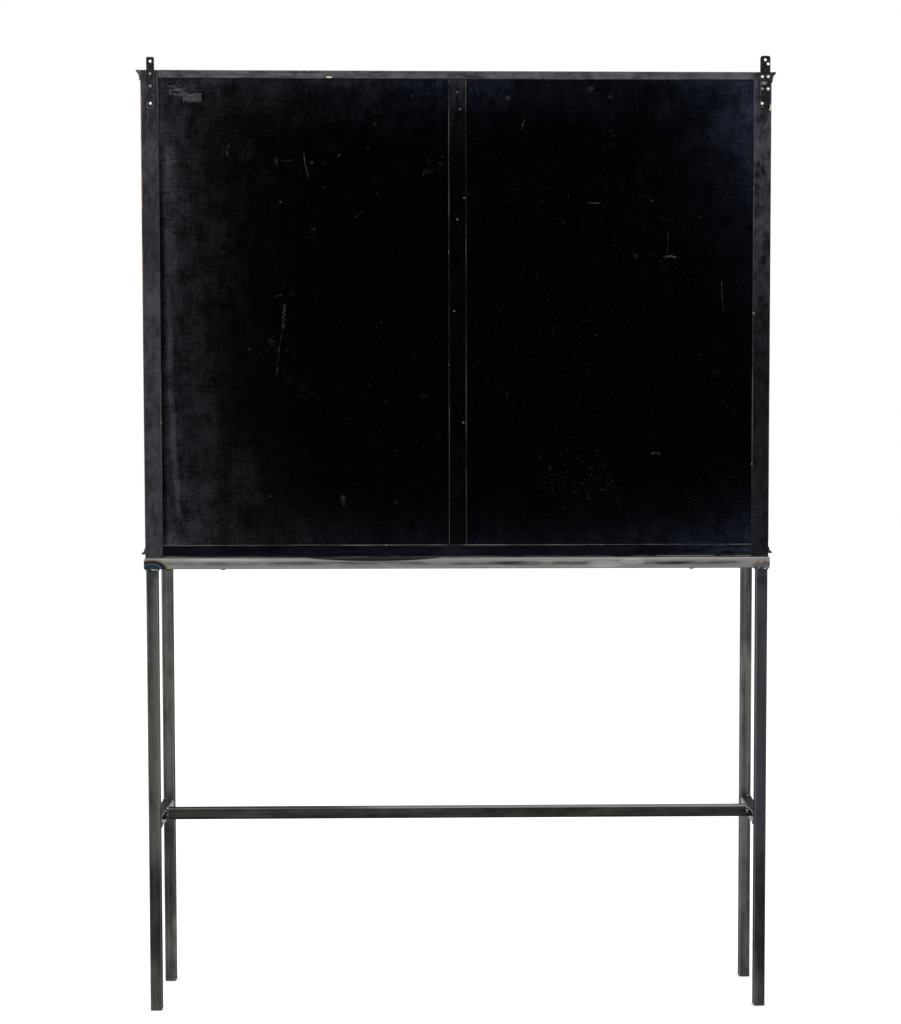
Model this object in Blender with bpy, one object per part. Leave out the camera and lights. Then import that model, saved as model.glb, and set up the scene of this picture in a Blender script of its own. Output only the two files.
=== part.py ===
"""Shop display cabinet: a shallow painted case with two glazed doors, on a welded square-tube stand.

Metres, +Z up. The doors face -Y and the framed back faces +Y. Left and right are as seen
from the front, so left is -X. The origin is on the floor, under the middle of the box that
holds the whole object.
"""
import math

import bmesh
import bpy
from mathutils import Matrix, Vector

# Gap between pieces that touch, and how far a cutter runs past what it cuts
FIT = 0.0003
OVERCUT = 0.005

# Stand of square steel tube
TUBE = 0.020
TUBE_WALL = 0.002
TUBE_CORNER = 0.0022
STAND_HEIGHT = 0.800
STAND_FRONT_REACH = 0.008
LEG_INSET = 0.001
RAIL_OVERHANG = 0.004
RAIL_END_PLATE = 0.003
FOOT_PLATE = 0.004
END_ROUNDING = 0.0018
STRETCHER_RISE = 0.321
FIXING_HOLE_INSET = 0.137
FIXING_HOLE_RADIUS = 0.0026

# Case of painted boards, with eased edges
EASED_EDGE = 0.0008
CASE_WIDTH = 1.088
CASE_HEIGHT = 0.840
CASE_DEPTH = 0.192
SIDE_THICKNESS = 0.018
TOP_THICKNESS = 0.018
BOTTOM_THICKNESS = 0.018
SHELF_THICKNESS = 0.016
SHELF_SETBACK = 0.040
HOUSING_DEPTH = 0.006

# Framed back: stiles, rails, muntin and two recessed panels
BACK_THICKNESS = 0.016
BACK_STILE_WIDTH = 0.0305
BACK_TOP_RAIL_HEIGHT = 0.014
BACK_BOTTOM_RAIL_HEIGHT = 0.022
BACK_MUNTIN_WIDTH = 0.031
PANEL_THICKNESS = 0.008
PANEL_RECESS = 0.003
GROOVE_DEPTH = 0.006

# Face of the case round the doors
FACE_STILE_WIDTH = 0.030
FACE_STILE_THICKNESS = 0.018
POST_WIDTH = 0.031
POST_DEPTH = 0.024

# Cove cornice and raised base moulding, each with a flat lip, a hollow and a narrow foot
CORNICE_HEIGHT = 0.017
CORNICE_REACH = 0.0070
CORNICE_LIP = 0.003
CORNICE_FOOT = 0.0015
BASE_RISE = 0.0055
BASE_HEIGHT = 0.011
BASE_REACH = 0.006
BASE_LIP = 0.003
BASE_FOOT = 0.001

# Glazed doors, with a chamfer round the pane
DOOR_THICKNESS = 0.020
DOOR_GAP = 0.0015
DOOR_STILE_WIDTH = 0.040
DOOR_TOP_RAIL_HEIGHT = 0.040
DOOR_BOTTOM_RAIL_HEIGHT = 0.050
DOOR_CHAMFER = 0.004
REBATE_WIDTH = 0.008
REBATE_DEPTH = 0.010
GLASS_THICKNESS = 0.003

# Butt hinges, with the barrel in front of the door
HINGE_HEIGHT = 0.060
HINGE_INSET = 0.110
LEAF_WIDTH = 0.014
LEAF_THICKNESS = 0.0012
BARREL_RADIUS = 0.0035
BARREL_STANDOFF = 0.0008
BARREL_TIP = 0.002
MIDDLE_KNUCKLE = 0.020
PIN_RADIUS = 0.0015

# Turn latches: knob and spindle in front, finger behind the centre post
KNOB_RADIUS = 0.011
KNOB_REACH = 0.026
KNOB_CROWN = 0.007
KNOB_SWEEP = 130
KNOB_NECK_RADIUS = 0.0055
KNOB_NECK_LENGTH = 0.004
KNOB_ROSE_RADIUS = 0.010
KNOB_ROSE_THICKNESS = 0.003
KNOB_ROSE_EDGE = 0.0015
SPINDLE_RADIUS = 0.0035
SPINDLE_STUB_RADIUS = 0.0025
LATCH_RISE = 0.420
LATCH_THICKNESS = 0.003
LATCH_LENGTH = 0.030
LATCH_HUB_RADIUS = 0.008
LATCH_TIP_RADIUS = 0.005
LATCH_CLEARANCE = 0.0006

# Two unlike hanging irons on the back: a narrow strap and a wide perforated plate
IRON_THICKNESS = 0.0025
IRON_SCREW_HOLE_RADIUS = 0.0028
IRON_HANGING_HOLE_RADIUS = 0.0026
STRAP_WIDTH = 0.0134
STRAP_LENGTH = 0.088
STRAP_STANDS_UP = 0.0215
STRAP_EDGE_DISTANCE = 0.0176
STRAP_CORNER = 0.0025
STRAP_TOP_HOLE_DROP = 0.0072
STRAP_SCREW_DROPS = (0.0284, 0.0495, 0.0788)
PLATE_WIDTH = 0.0175
PLATE_LENGTH = 0.095
PLATE_STANDS_UP = 0.0274
PLATE_EDGE_DISTANCE = 0.0115
PLATE_CORNER = 0.004
PLATE_FOOT_CORNER = 0.008
PLATE_ROW_SPACING = 0.0100
PLATE_TOP_HOLE_DROP = 0.0068
PLATE_SECOND_HOLE_DROP = 0.0138
PLATE_ROW_DROPS = (0.0357, 0.0566)
PLATE_LOW_HOLE_DROP = 0.0815

# How finely the round work is cut, and which corners are shaded sharp and eased
TUBE_CORNER_STEPS = 3
MOULDING_STEPS = 8
ROUND_STEPS = 24
HOLE_STEPS = 16
SMOOTH_ANGLE = math.radians(40)
EASED_ANGLE = math.radians(60)

# Planes that follow from the sizes above
IRON_REACH = FIT + IRON_THICKNESS
BACK_Y = (CASE_DEPTH + KNOB_REACH - IRON_REACH) / 2
FACE_Y = BACK_Y - CASE_DEPTH
STAND_FRONT_Y = FACE_Y - STAND_FRONT_REACH
BACK_FRAME_Y = BACK_Y - BACK_THICKNESS
SIDE_X = CASE_WIDTH / 2
LEG_OUTER_X = SIDE_X - LEG_INSET
CASE_BOTTOM_Z = STAND_HEIGHT + FIT
CASE_TOP_Z = CASE_BOTTOM_Z + CASE_HEIGHT
FLOOR_Z = CASE_BOTTOM_Z + BOTTOM_THICKNESS
CEILING_Z = CASE_TOP_Z - TOP_THICKNESS
OPENING_X = SIDE_X - FACE_STILE_WIDTH
DOOR_BOTTOM_Z = CASE_BOTTOM_Z + max(BOTTOM_THICKNESS, BASE_RISE + BASE_HEIGHT + FIT) + DOOR_GAP
DOOR_TOP_Z = CASE_TOP_Z - max(TOP_THICKNESS, CORNICE_HEIGHT + FIT) - DOOR_GAP
HINGE_AXIS_X = OPENING_X - DOOR_GAP / 2
HINGE_AXIS_Y = FACE_Y - BARREL_RADIUS - BARREL_STANDOFF
SPINDLE_X = POST_WIDTH / 2 + DOOR_GAP + DOOR_STILE_WIDTH / 2
SPINDLE_Z = CASE_BOTTOM_Z + LATCH_RISE
LATCH_Y = FACE_Y + max(POST_DEPTH, DOOR_THICKNESS) + LATCH_CLEARANCE
SIDES = (("left", -1), ("right", 1))


# Materials

def paint_metal_glass():
    """Makes one Principled material for each finish, by name."""
    finishes = {
        "black_paint": ((0.012, 0.012, 0.014), 0.42, 0.0),
        "raw_steel": ((0.32, 0.32, 0.33), 0.38, 1.0),
        "dark_iron": ((0.035, 0.035, 0.036), 0.45, 0.0),
        "aged_brass": ((0.52, 0.37, 0.15), 0.38, 1.0),
        "window_glass": ((0.80, 0.86, 0.84), 0.04, 0.0),
    }
    materials = {}
    for name, (colour, roughness, metallic) in finishes.items():
        material = bpy.data.materials.new(name)
        material.use_nodes = True
        shader = material.node_tree.nodes["Principled BSDF"]
        shader.inputs["Base Color"].default_value = (*colour, 1.0)
        shader.inputs["Roughness"].default_value = roughness
        shader.inputs["Metallic"].default_value = metallic
        materials[name] = material
    return materials


# Shapes

def box(bm, low, high):
    """Adds a box between two corners."""
    low, high = Vector(low), Vector(high)
    place = Matrix.Translation((low + high) / 2) @ Matrix.Diagonal((*(high - low), 1.0))
    bmesh.ops.create_cube(bm, size=1.0, matrix=place)


def prism(bm, outline, axis, start, end):
    """Extrudes a flat outline along an axis. The outline's points leave that axis out."""
    index = "XYZ".index(axis)
    corners = []
    for point in outline:
        corner = list(point)
        corner.insert(index, start)
        corners.append(bm.verts.new(corner))
    cap = bm.faces.new(corners)
    grown = bmesh.ops.extrude_face_region(bm, geom=[cap], use_keep_orig=True)
    reach = Vector((0.0, 0.0, 0.0))
    reach[index] = end - start
    moved = [item for item in grown["geom"] if isinstance(item, bmesh.types.BMVert)]
    bmesh.ops.translate(bm, verts=moved, vec=reach)


def arc(centre, radii, start, sweep, steps):
    """Gives points along part of an ellipse, with both ends, angles in degrees."""
    points = []
    for step in range(steps + 1):
        angle = math.radians(start + sweep * step / steps)
        points.append((centre[0] + radii[0] * math.cos(angle), centre[1] + radii[1] * math.sin(angle)))
    return points


def rounded_outline(low, high, top_radius, bottom_radius, steps):
    """Gives a rectangle's outline with rounded top and bottom corners."""
    corners = (
        (high[0] - top_radius, high[1] - top_radius, top_radius, 0),
        (low[0] + top_radius, high[1] - top_radius, top_radius, 90),
        (low[0] + bottom_radius, low[1] + bottom_radius, bottom_radius, 180),
        (high[0] - bottom_radius, low[1] + bottom_radius, bottom_radius, 270),
    )
    outline = []
    for x, z, radius, start in corners:
        outline += arc((x, z), (radius, radius), start, 90, steps)
    return outline


def cylinder(bm, centre, radius, axis, start, end, steps=HOLE_STEPS):
    """Adds a round bar along an axis. The centre leaves that axis out."""
    outline = arc(centre, (radius, radius), 0, 360, steps)[:-1]
    prism(bm, outline, axis, start, end)


def turned(bm, profile, direction):
    """Turns a profile of (radius, distance) points about an axis through the origin."""
    direction = Vector(direction)
    across = direction.orthogonal().normalized()
    points = [bm.verts.new(across * radius + direction * distance) for radius, distance in profile]
    edges = [bm.edges.new(pair) for pair in zip(points, points[1:])]
    bmesh.ops.spin(bm, geom=points + edges, cent=(0, 0, 0), axis=direction, dvec=(0, 0, 0),
                   angle=math.tau, steps=ROUND_STEPS, use_merge=True)
    bmesh.ops.remove_doubles(bm, verts=bm.verts, dist=FIT / 10)


# Objects

def add_object(name, bm, location=(0, 0, 0), material=None, parent=None, eased=False):
    """Turns a closed mesh, modelled round its own origin, into a placed object."""
    bmesh.ops.recalc_face_normals(bm, faces=bm.faces)
    if eased:
        ease_edges(bm)
    mesh = bpy.data.meshes.new(name)
    bm.to_mesh(mesh)
    bm.free()
    mesh.shade_smooth()
    mesh.set_sharp_from_angle(angle=SMOOTH_ANGLE)
    piece = bpy.data.objects.new(name, mesh)
    piece.location = location
    bpy.context.scene.collection.objects.link(piece)
    if material:
        mesh.materials.append(material)
    if parent:
        piece.parent = parent
        piece.matrix_parent_inverse = Matrix.Translation(-Vector(parent["joint_at"]))
    return piece


def ease_edges(bm):
    """Takes the sharpness off the outer corners of a wooden piece."""
    bm.normal_update()
    sharp = [edge for edge in bm.edges if edge.is_convex and edge.calc_face_angle() > EASED_ANGLE]
    bmesh.ops.bevel(bm, geom=sharp, offset=EASED_EDGE, segments=1, profile=0.5, affect="EDGES",
                    clamp_overlap=True, material=-1)


def add_axis(name, location, parent=None):
    """Adds an empty on a joint's axis for the pieces that move with it."""
    axis = bpy.data.objects.new(name, None)
    axis["joint_at"] = location
    axis.location = location
    bpy.context.scene.collection.objects.link(axis)
    if parent:
        axis.parent = parent
        axis.matrix_parent_inverse = Matrix.Translation(-Vector(parent["joint_at"]))
    return axis


def add_board(name, low, high, material, parent=None, eased=True):
    """Adds a plain board between two corners, with its origin at its middle."""
    low, high = Vector(low), Vector(high)
    middle = (low + high) / 2
    bm = bmesh.new()
    box(bm, low - middle, high - middle)
    return add_object(name, bm, middle, material, parent, eased)


def apply_shape(piece, bm, operation):
    """Cuts a shape, given in the world's coordinates, from a piece, or adds it to the piece."""
    tool = add_object(piece.name + "_" + operation.lower(), bm)
    tool.hide_render = True
    tool.display_type = "WIRE"
    change = piece.modifiers.new(operation.capitalize(), "BOOLEAN")
    change.operation = operation
    change.solver = "EXACT"
    change.object = tool


def cut_boxes(piece, boxes):
    """Cuts separate boxes from a piece."""
    bm = bmesh.new()
    for low, high in boxes:
        box(bm, low, high)
    apply_shape(piece, bm, "DIFFERENCE")


def spread(sign, near, far):
    """Orders two distances from the middle plane into low and high x on one side."""
    return min(sign * near, sign * far), max(sign * near, sign * far)


# Stand

def add_tube(name, axis, start, end, centre, material, bore_start=None, bore_end=None):
    """Adds a square tube along an axis, open unless its bore starts or ends inside it.

    The centre leaves that axis out.
    """
    half = TUBE / 2
    along = "XYZ".index(axis)
    outline = rounded_outline((-half, -half), (half, half), TUBE_CORNER, TUBE_CORNER, TUBE_CORNER_STEPS)
    place = list(centre)
    place.insert(along, start)
    bm = bmesh.new()
    prism(bm, outline, axis, 0.0, end - start)
    closed = [(0.0, bore_start), (end - start, bore_end)]
    for plane, bore_limit in closed:
        if bore_limit is not None:
            round_end(bm, along, plane)
    piece = add_object(name, bm, place, material)
    bore = half - TUBE_WALL
    low = [middle - bore for middle in centre]
    high = [middle + bore for middle in centre]
    low.insert(along, start - OVERCUT if bore_start is None else bore_start)
    high.insert(along, end + OVERCUT if bore_end is None else bore_end)
    cut_boxes(piece, [(low, high)])
    return piece


def round_end(bm, along, plane):
    """Rounds the rim of a tube's closed end, which lies in a plane square to the tube."""
    rim = [edge for edge in bm.edges if all(abs(vert.co[along] - plane) < FIT for vert in edge.verts)]
    bmesh.ops.bevel(bm, geom=rim, offset=min(END_ROUNDING, TUBE_CORNER), segments=TUBE_CORNER_STEPS,
                    profile=0.5, affect="EDGES", clamp_overlap=True, material=-1)


def build_stand(steel):
    """Builds four capped legs, a top frame, two side stretchers and one long stretcher."""
    half = TUBE / 2
    leg_x = LEG_OUTER_X - half
    rows = (("front", STAND_FRONT_Y + half), ("rear", BACK_Y - half))
    rail_z = STAND_HEIGHT - half
    stretcher_z = STRETCHER_RISE + half
    rail_end = LEG_OUTER_X + RAIL_OVERHANG
    leg_top = STAND_HEIGHT - TUBE - FIT

    for row, y in rows:
        for side, sign in SIDES:
            name = f"stand_leg_{row}_{side}"
            add_tube(name, "Z", 0.0, leg_top, (sign * leg_x, y), steel, bore_start=FOOT_PLATE)
        rail = add_tube(f"stand_rail_{row}", "X", -rail_end, rail_end, (y, rail_z), steel,
                        bore_start=-rail_end + RAIL_END_PLATE, bore_end=rail_end - RAIL_END_PLATE)
        holes = bmesh.new()
        for _, sign in SIDES:
            hole_x = sign * (rail_end - FIXING_HOLE_INSET)
            cylinder(holes, (hole_x, y), FIXING_HOLE_RADIUS, "Z", STAND_HEIGHT - TUBE - OVERCUT,
                     STAND_HEIGHT + OVERCUT)
        apply_shape(rail, holes, "DIFFERENCE")

    between = (STAND_FRONT_Y + TUBE + FIT, BACK_Y - TUBE - FIT)
    for side, sign in SIDES:
        add_tube(f"stand_rail_{side}", "Y", *between, (sign * leg_x, rail_z), steel)
        add_tube(f"side_stretcher_{side}", "Y", *between, (sign * leg_x, stretcher_z), steel)
    long_end = LEG_OUTER_X - TUBE - FIT
    middle_y = (STAND_FRONT_Y + BACK_Y) / 2
    add_tube("long_stretcher", "X", -long_end, long_end, (middle_y, stretcher_z), steel)


# Case

def board_outline():
    """Gives the plan of the top and bottom boards: housed in the sides, notched round the face stiles."""
    wide = SIDE_X - SIDE_THICKNESS + HOUSING_DEPTH - FIT
    narrow = OPENING_X - FIT
    notch = FACE_Y + FACE_STILE_THICKNESS + FIT
    rear = BACK_FRAME_Y - FIT
    right = [(narrow, FACE_Y), (narrow, notch), (wide, notch), (wide, rear)]
    return right + [(-x, y) for x, y in reversed(right)]


def shelf_heights():
    """Gives the underside of each shelf, so that the compartments come out alike."""
    names = ("shelf_lower", "shelf_upper")
    clear = (CEILING_Z - FLOOR_Z - len(names) * SHELF_THICKNESS) / (len(names) + 1)
    pitch = clear + SHELF_THICKNESS
    return {name: FLOOR_Z + clear + pitch * index for index, name in enumerate(names)}


def build_case(paint):
    """Builds the sides, top, bottom and shelves, with the shelves housed in the sides."""
    front = FACE_Y + FACE_STILE_THICKNESS + FIT
    rear = BACK_FRAME_Y - FIT
    inner = SIDE_X - SIDE_THICKNESS
    housed = [(CASE_BOTTOM_Z - OVERCUT, FLOOR_Z + FIT), (CEILING_Z - FIT, CASE_TOP_Z + OVERCUT)]
    housed += [(z - FIT, z + SHELF_THICKNESS + FIT) for z in shelf_heights().values()]

    for side, sign in SIDES:
        low_x, high_x = spread(sign, inner, SIDE_X)
        board = add_board(f"side_board_{side}", (low_x, front, CASE_BOTTOM_Z),
                          (high_x, rear, CASE_TOP_Z), paint)
        cut_x = spread(sign, inner - OVERCUT, inner + HOUSING_DEPTH)
        cut_boxes(board, [((cut_x[0], front - OVERCUT, low_z), (cut_x[1], rear + OVERCUT, high_z))
                          for low_z, high_z in housed])

    for name, low_z, thickness in (("bottom_board", CASE_BOTTOM_Z, BOTTOM_THICKNESS),
                                   ("top_board", CEILING_Z, TOP_THICKNESS)):
        bm = bmesh.new()
        prism(bm, board_outline(), "Z", 0.0, thickness)
        add_object(name, bm, (0, 0, low_z), paint, eased=True)

    shelf_x = inner + HOUSING_DEPTH - FIT
    for name, z in shelf_heights().items():
        add_board(name, (-shelf_x, FACE_Y + SHELF_SETBACK, z), (shelf_x, rear, z + SHELF_THICKNESS), paint)


def build_face(paint):
    """Builds the two face stiles and the centre post that the doors close on."""
    for side, sign in SIDES:
        low_x, high_x = spread(sign, OPENING_X, SIDE_X)
        stile = add_board(f"face_stile_{side}", (low_x, FACE_Y, CASE_BOTTOM_Z),
                          (high_x, FACE_Y + FACE_STILE_THICKNESS, CASE_TOP_Z), paint)
        cut_boxes(stile, [leaf_seat(sign, OPENING_X, 1, z) for z in hinge_heights()])
    add_board("centre_post", (-POST_WIDTH / 2, FACE_Y, FLOOR_Z + FIT),
              (POST_WIDTH / 2, FACE_Y + POST_DEPTH, CEILING_Z - FIT), paint)


# Mouldings

def hollow_profile(height, reach, lip, foot):
    """Gives a cove's section from its lip: (outwards, away from the lip) points round a hollow."""
    hollow = arc((reach, height), (reach - foot, height - lip), 180, 90, MOULDING_STEPS)
    return [(0.0, 0.0), (0.0, height)] + hollow + [(reach, 0.0)]


def add_moulding(name, profile, lip_z, turn, middle, length, mitres, paint):
    """Runs a profile along a wall, flipped by turn up or down from its lip.

    The moulding is made along local +X with its outer side at local -Y and turned into
    place. A mitred end runs out by as much as the profile does.
    """
    bm = bmesh.new()
    prism(bm, [(-out, turn * down) for out, down in profile], "X", -length / 2, length / 2)
    for vert in bm.verts:
        end = 1 if vert.co.x > 0 else -1
        vert.co.x += end * mitres[end] * (-vert.co.y - FIT)
    return add_object(name, bm, (*middle, lip_z), paint)


def build_mouldings(paint):
    """Builds the cornice and the base moulding, mitred at the front and cut off flush at the back."""
    cornice = hollow_profile(CORNICE_HEIGHT, CORNICE_REACH, CORNICE_LIP, CORNICE_FOOT)
    base = hollow_profile(BASE_HEIGHT, BASE_REACH, BASE_LIP, BASE_FOOT)
    wall_x = SIDE_X + FIT
    wall_y = FACE_Y - FIT
    run = BACK_Y - wall_y
    for name, profile, lip_z, turn in (("cornice", cornice, CASE_TOP_Z, -1),
                                       ("base_moulding", base, CASE_BOTTOM_Z + BASE_RISE, 1)):
        add_moulding(f"{name}_front", profile, lip_z, turn, (0, wall_y), 2 * wall_x, {-1: 1, 1: 1}, paint)
        for side, sign in SIDES:
            piece = add_moulding(f"{name}_{side}", profile, lip_z, turn, (sign * wall_x, wall_y + run / 2),
                                 run, {sign: 0, -sign: 1}, paint)
            piece.rotation_euler.z = sign * math.pi / 2


# Framed back

def build_back(paint):
    """Builds the back: through stiles, tenoned rails, a tenoned muntin and two grooved-in panels."""
    panel_rear = BACK_Y - PANEL_RECESS
    panel_front = panel_rear - PANEL_THICKNESS
    groove = (panel_front - FIT, panel_rear + FIT)
    shoulder_x = SIDE_X - BACK_STILE_WIDTH - FIT
    tongue = GROOVE_DEPTH - FIT
    lower_z = CASE_BOTTOM_Z + BACK_BOTTOM_RAIL_HEIGHT
    upper_z = CASE_TOP_Z - BACK_TOP_RAIL_HEIGHT

    for side, sign in SIDES:
        inner = SIDE_X - BACK_STILE_WIDTH
        outline = [(SIDE_X, BACK_FRAME_Y), (SIDE_X, BACK_Y), (inner, BACK_Y), (inner, groove[1]),
                   (inner + GROOVE_DEPTH, groove[1]), (inner + GROOVE_DEPTH, groove[0]),
                   (inner, groove[0]), (inner, BACK_FRAME_Y)]
        bm = bmesh.new()
        prism(bm, [(sign * x, y) for x, y in outline], "Z", 0.0, CASE_HEIGHT)
        add_object(f"back_stile_{side}", bm, (0, 0, CASE_BOTTOM_Z), paint, eased=True)

    rail_x = shoulder_x + tongue - FIT
    for name, low_z, high_z, cut_z in (
            ("back_bottom_rail", CASE_BOTTOM_Z, lower_z, (lower_z - GROOVE_DEPTH, lower_z + OVERCUT)),
            ("back_top_rail", upper_z, CASE_TOP_Z, (upper_z - OVERCUT, upper_z + GROOVE_DEPTH))):
        bm = bmesh.new()
        prism(bm, tenoned_outline(shoulder_x, rail_x, panel_front, panel_rear), "Z", 0.0, high_z - low_z)
        rail = add_object(name, bm, (0, 0, low_z), paint, eased=True)
        cut_boxes(rail, [((-rail_x - OVERCUT, groove[0], cut_z[0]), (rail_x + OVERCUT, groove[1], cut_z[1]))])

    middle_z = (lower_z + upper_z) / 2
    shoulder_z = (upper_z - lower_z) / 2 - FIT
    tenon_z = shoulder_z + tongue
    muntin_x = BACK_MUNTIN_WIDTH / 2
    outline = tenoned_outline(shoulder_z, tenon_z, panel_front, panel_rear)
    bm = bmesh.new()
    prism(bm, [(y, z) for z, y in outline], "X", -muntin_x, muntin_x)
    muntin = add_object("back_muntin", bm, (0, 0, middle_z), paint, eased=True)
    low_z, high_z = middle_z - tenon_z - OVERCUT, middle_z + tenon_z + OVERCUT
    grooves = []
    for _, sign in SIDES:
        cut_x = spread(sign, muntin_x - GROOVE_DEPTH, muntin_x + OVERCUT)
        grooves.append(((cut_x[0], groove[0], low_z), (cut_x[1], groove[1], high_z)))
    cut_boxes(muntin, grooves)

    for side, sign in SIDES:
        low_x, high_x = spread(sign, muntin_x - tongue, SIDE_X - BACK_STILE_WIDTH + tongue)
        add_board(f"back_panel_{side}", (low_x, panel_front, lower_z - tongue),
                  (high_x, panel_rear, upper_z + tongue), paint)


def tenoned_outline(shoulder, tip, tenon_front, tenon_rear):
    """Gives the (along, depth) outline of a back-frame bar with a tenon at each end."""
    end = [(shoulder, BACK_FRAME_Y), (shoulder, tenon_front), (tip, tenon_front),
           (tip, tenon_rear), (shoulder, tenon_rear), (shoulder, BACK_Y)]
    return end + [(-along, depth) for along, depth in reversed(end)]


# Hanging irons

def add_iron(name, x, width, length, stands_up, corner, foot_corner, holes, iron_paint):
    """Adds a flat iron on the back, with round holes given as (across, drop from its top, radius)."""
    top_z = CASE_TOP_Z + stands_up
    outline = rounded_outline((-width / 2, -length), (width / 2, 0.0), corner, foot_corner, TUBE_CORNER_STEPS)
    bm = bmesh.new()
    prism(bm, outline, "Y", 0.0, IRON_THICKNESS)
    iron = add_object(name, bm, (x, BACK_Y + FIT, top_z), iron_paint)
    drill = bmesh.new()
    for across, drop, radius in holes:
        cylinder(drill, (x + across, top_z - drop), radius, "Y", BACK_Y + FIT - OVERCUT,
                 BACK_Y + IRON_REACH + OVERCUT)
    apply_shape(iron, drill, "DIFFERENCE")


def build_irons(iron_paint):
    """Builds the narrow strap behind the right stile and the perforated plate behind the left one."""
    strap_holes = [(0.0, STRAP_TOP_HOLE_DROP, IRON_HANGING_HOLE_RADIUS)]
    strap_holes += [(0.0, drop, IRON_SCREW_HOLE_RADIUS) for drop in STRAP_SCREW_DROPS]
    add_iron("hanging_strap", SIDE_X - STRAP_EDGE_DISTANCE, STRAP_WIDTH, STRAP_LENGTH, STRAP_STANDS_UP,
             STRAP_CORNER, STRAP_CORNER, strap_holes, iron_paint)
    outer, inner = -PLATE_ROW_SPACING / 2, PLATE_ROW_SPACING / 2
    plate_holes = [(0.0, PLATE_TOP_HOLE_DROP, IRON_HANGING_HOLE_RADIUS),
                   (outer, PLATE_SECOND_HOLE_DROP, IRON_HANGING_HOLE_RADIUS)]
    for drop in PLATE_ROW_DROPS:
        plate_holes += [(outer, drop, IRON_SCREW_HOLE_RADIUS), (inner, drop, IRON_SCREW_HOLE_RADIUS)]
    plate_holes.append((inner, PLATE_LOW_HOLE_DROP, IRON_SCREW_HOLE_RADIUS))
    add_iron("hanging_plate", -SIDE_X + PLATE_EDGE_DISTANCE, PLATE_WIDTH, PLATE_LENGTH, PLATE_STANDS_UP,
             PLATE_CORNER, PLATE_FOOT_CORNER, plate_holes, iron_paint)


# Doors

def door_x(sign, distance):
    """Gives x at a distance inwards from a door's hinged edge."""
    return sign * (OPENING_X - DOOR_GAP - distance)


def build_door(side, sign, axis, paint, glass):
    """Builds one door: rebated stiles, rails scribed over the stiles' chamfers, and the pane."""
    width = OPENING_X - POST_WIDTH / 2 - 2 * DOOR_GAP
    lip_y = FACE_Y + REBATE_DEPTH
    rear_y = FACE_Y + DOOR_THICKNESS
    edge = DOOR_STILE_WIDTH
    seat = DOOR_STILE_WIDTH - REBATE_WIDTH
    stile_height = DOOR_TOP_Z - DOOR_BOTTOM_Z

    chamfer_y = FACE_Y + DOOR_CHAMFER
    section = [(0.0, FACE_Y), (edge - DOOR_CHAMFER, FACE_Y), (edge, chamfer_y), (edge, lip_y),
               (seat, lip_y), (seat, rear_y), (0.0, rear_y)]
    for name, plan in (("hinge_stile", [(door_x(sign, across), y) for across, y in section]),
                       ("meeting_stile", [(door_x(sign, width - across), y) for across, y in section])):
        bm = bmesh.new()
        prism(bm, plan, "Z", 0.0, stile_height)
        stile = add_object(f"{side}_door_{name}", bm, (0, 0, DOOR_BOTTOM_Z), paint, axis, eased=True)
        if name == "hinge_stile":
            cut_boxes(stile, [leaf_seat(sign, OPENING_X - DOOR_GAP, -1, z) for z in hinge_heights()])
        else:
            bore = bmesh.new()
            cylinder(bore, (sign * SPINDLE_X, SPINDLE_Z), SPINDLE_RADIUS + FIT, "Y", FACE_Y - OVERCUT,
                     rear_y + OVERCUT, ROUND_STEPS)
            apply_shape(stile, bore, "DIFFERENCE")

    short, long = edge + FIT, seat + FIT
    step_y = lip_y + FIT
    tip = short - DOOR_CHAMFER
    end = [(tip, FACE_Y), (short, chamfer_y), (short, step_y), (long, step_y), (long, rear_y)]
    plan = end + [(width - across, y) for across, y in reversed(end)]
    top_seat_z = DOOR_TOP_Z - DOOR_TOP_RAIL_HEIGHT + REBATE_WIDTH
    bottom_seat_z = DOOR_BOTTOM_Z + DOOR_BOTTOM_RAIL_HEIGHT - REBATE_WIDTH
    for name, low_z, height, seat_z, inwards in (
            ("top_rail", DOOR_TOP_Z - DOOR_TOP_RAIL_HEIGHT, DOOR_TOP_RAIL_HEIGHT, top_seat_z, -1),
            ("bottom_rail", DOOR_BOTTOM_Z, DOOR_BOTTOM_RAIL_HEIGHT, bottom_seat_z, 1)):
        bm = bmesh.new()
        prism(bm, [(door_x(sign, across), y) for across, y in plan], "Z", 0.0, height)
        rail = add_object(f"{side}_door_{name}", bm, (0, 0, low_z), paint, axis, eased=True)
        cut_x = sorted((door_x(sign, -OVERCUT), door_x(sign, width + OVERCUT)))
        lip_z = seat_z + inwards * REBATE_WIDTH
        past_z = lip_z + inwards * OVERCUT
        cut_boxes(rail, [((cut_x[0], lip_y, min(seat_z, past_z)),
                          (cut_x[1], rear_y + OVERCUT, max(seat_z, past_z)))])
        chamfer = bmesh.new()
        start_z = lip_z - inwards * (DOOR_CHAMFER + OVERCUT)
        slope = [(FACE_Y - OVERCUT, start_z), (chamfer_y + OVERCUT, past_z), (FACE_Y - OVERCUT, past_z)]
        prism(chamfer, slope, "X", *cut_x)
        apply_shape(rail, chamfer, "DIFFERENCE")

    glass_x = sorted((door_x(sign, seat + FIT), door_x(sign, width - seat - FIT)))
    glass_y = lip_y + FIT
    add_board(f"{side}_door_glass", (glass_x[0], glass_y, bottom_seat_z + FIT),
              (glass_x[1], glass_y + GLASS_THICKNESS, top_seat_z - FIT), glass, axis, eased=False)


# Hinges

def hinge_heights():
    """Gives the middle height of the lower and the upper hinge on a door."""
    return DOOR_BOTTOM_Z + HINGE_INSET, DOOR_TOP_Z - HINGE_INSET


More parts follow.
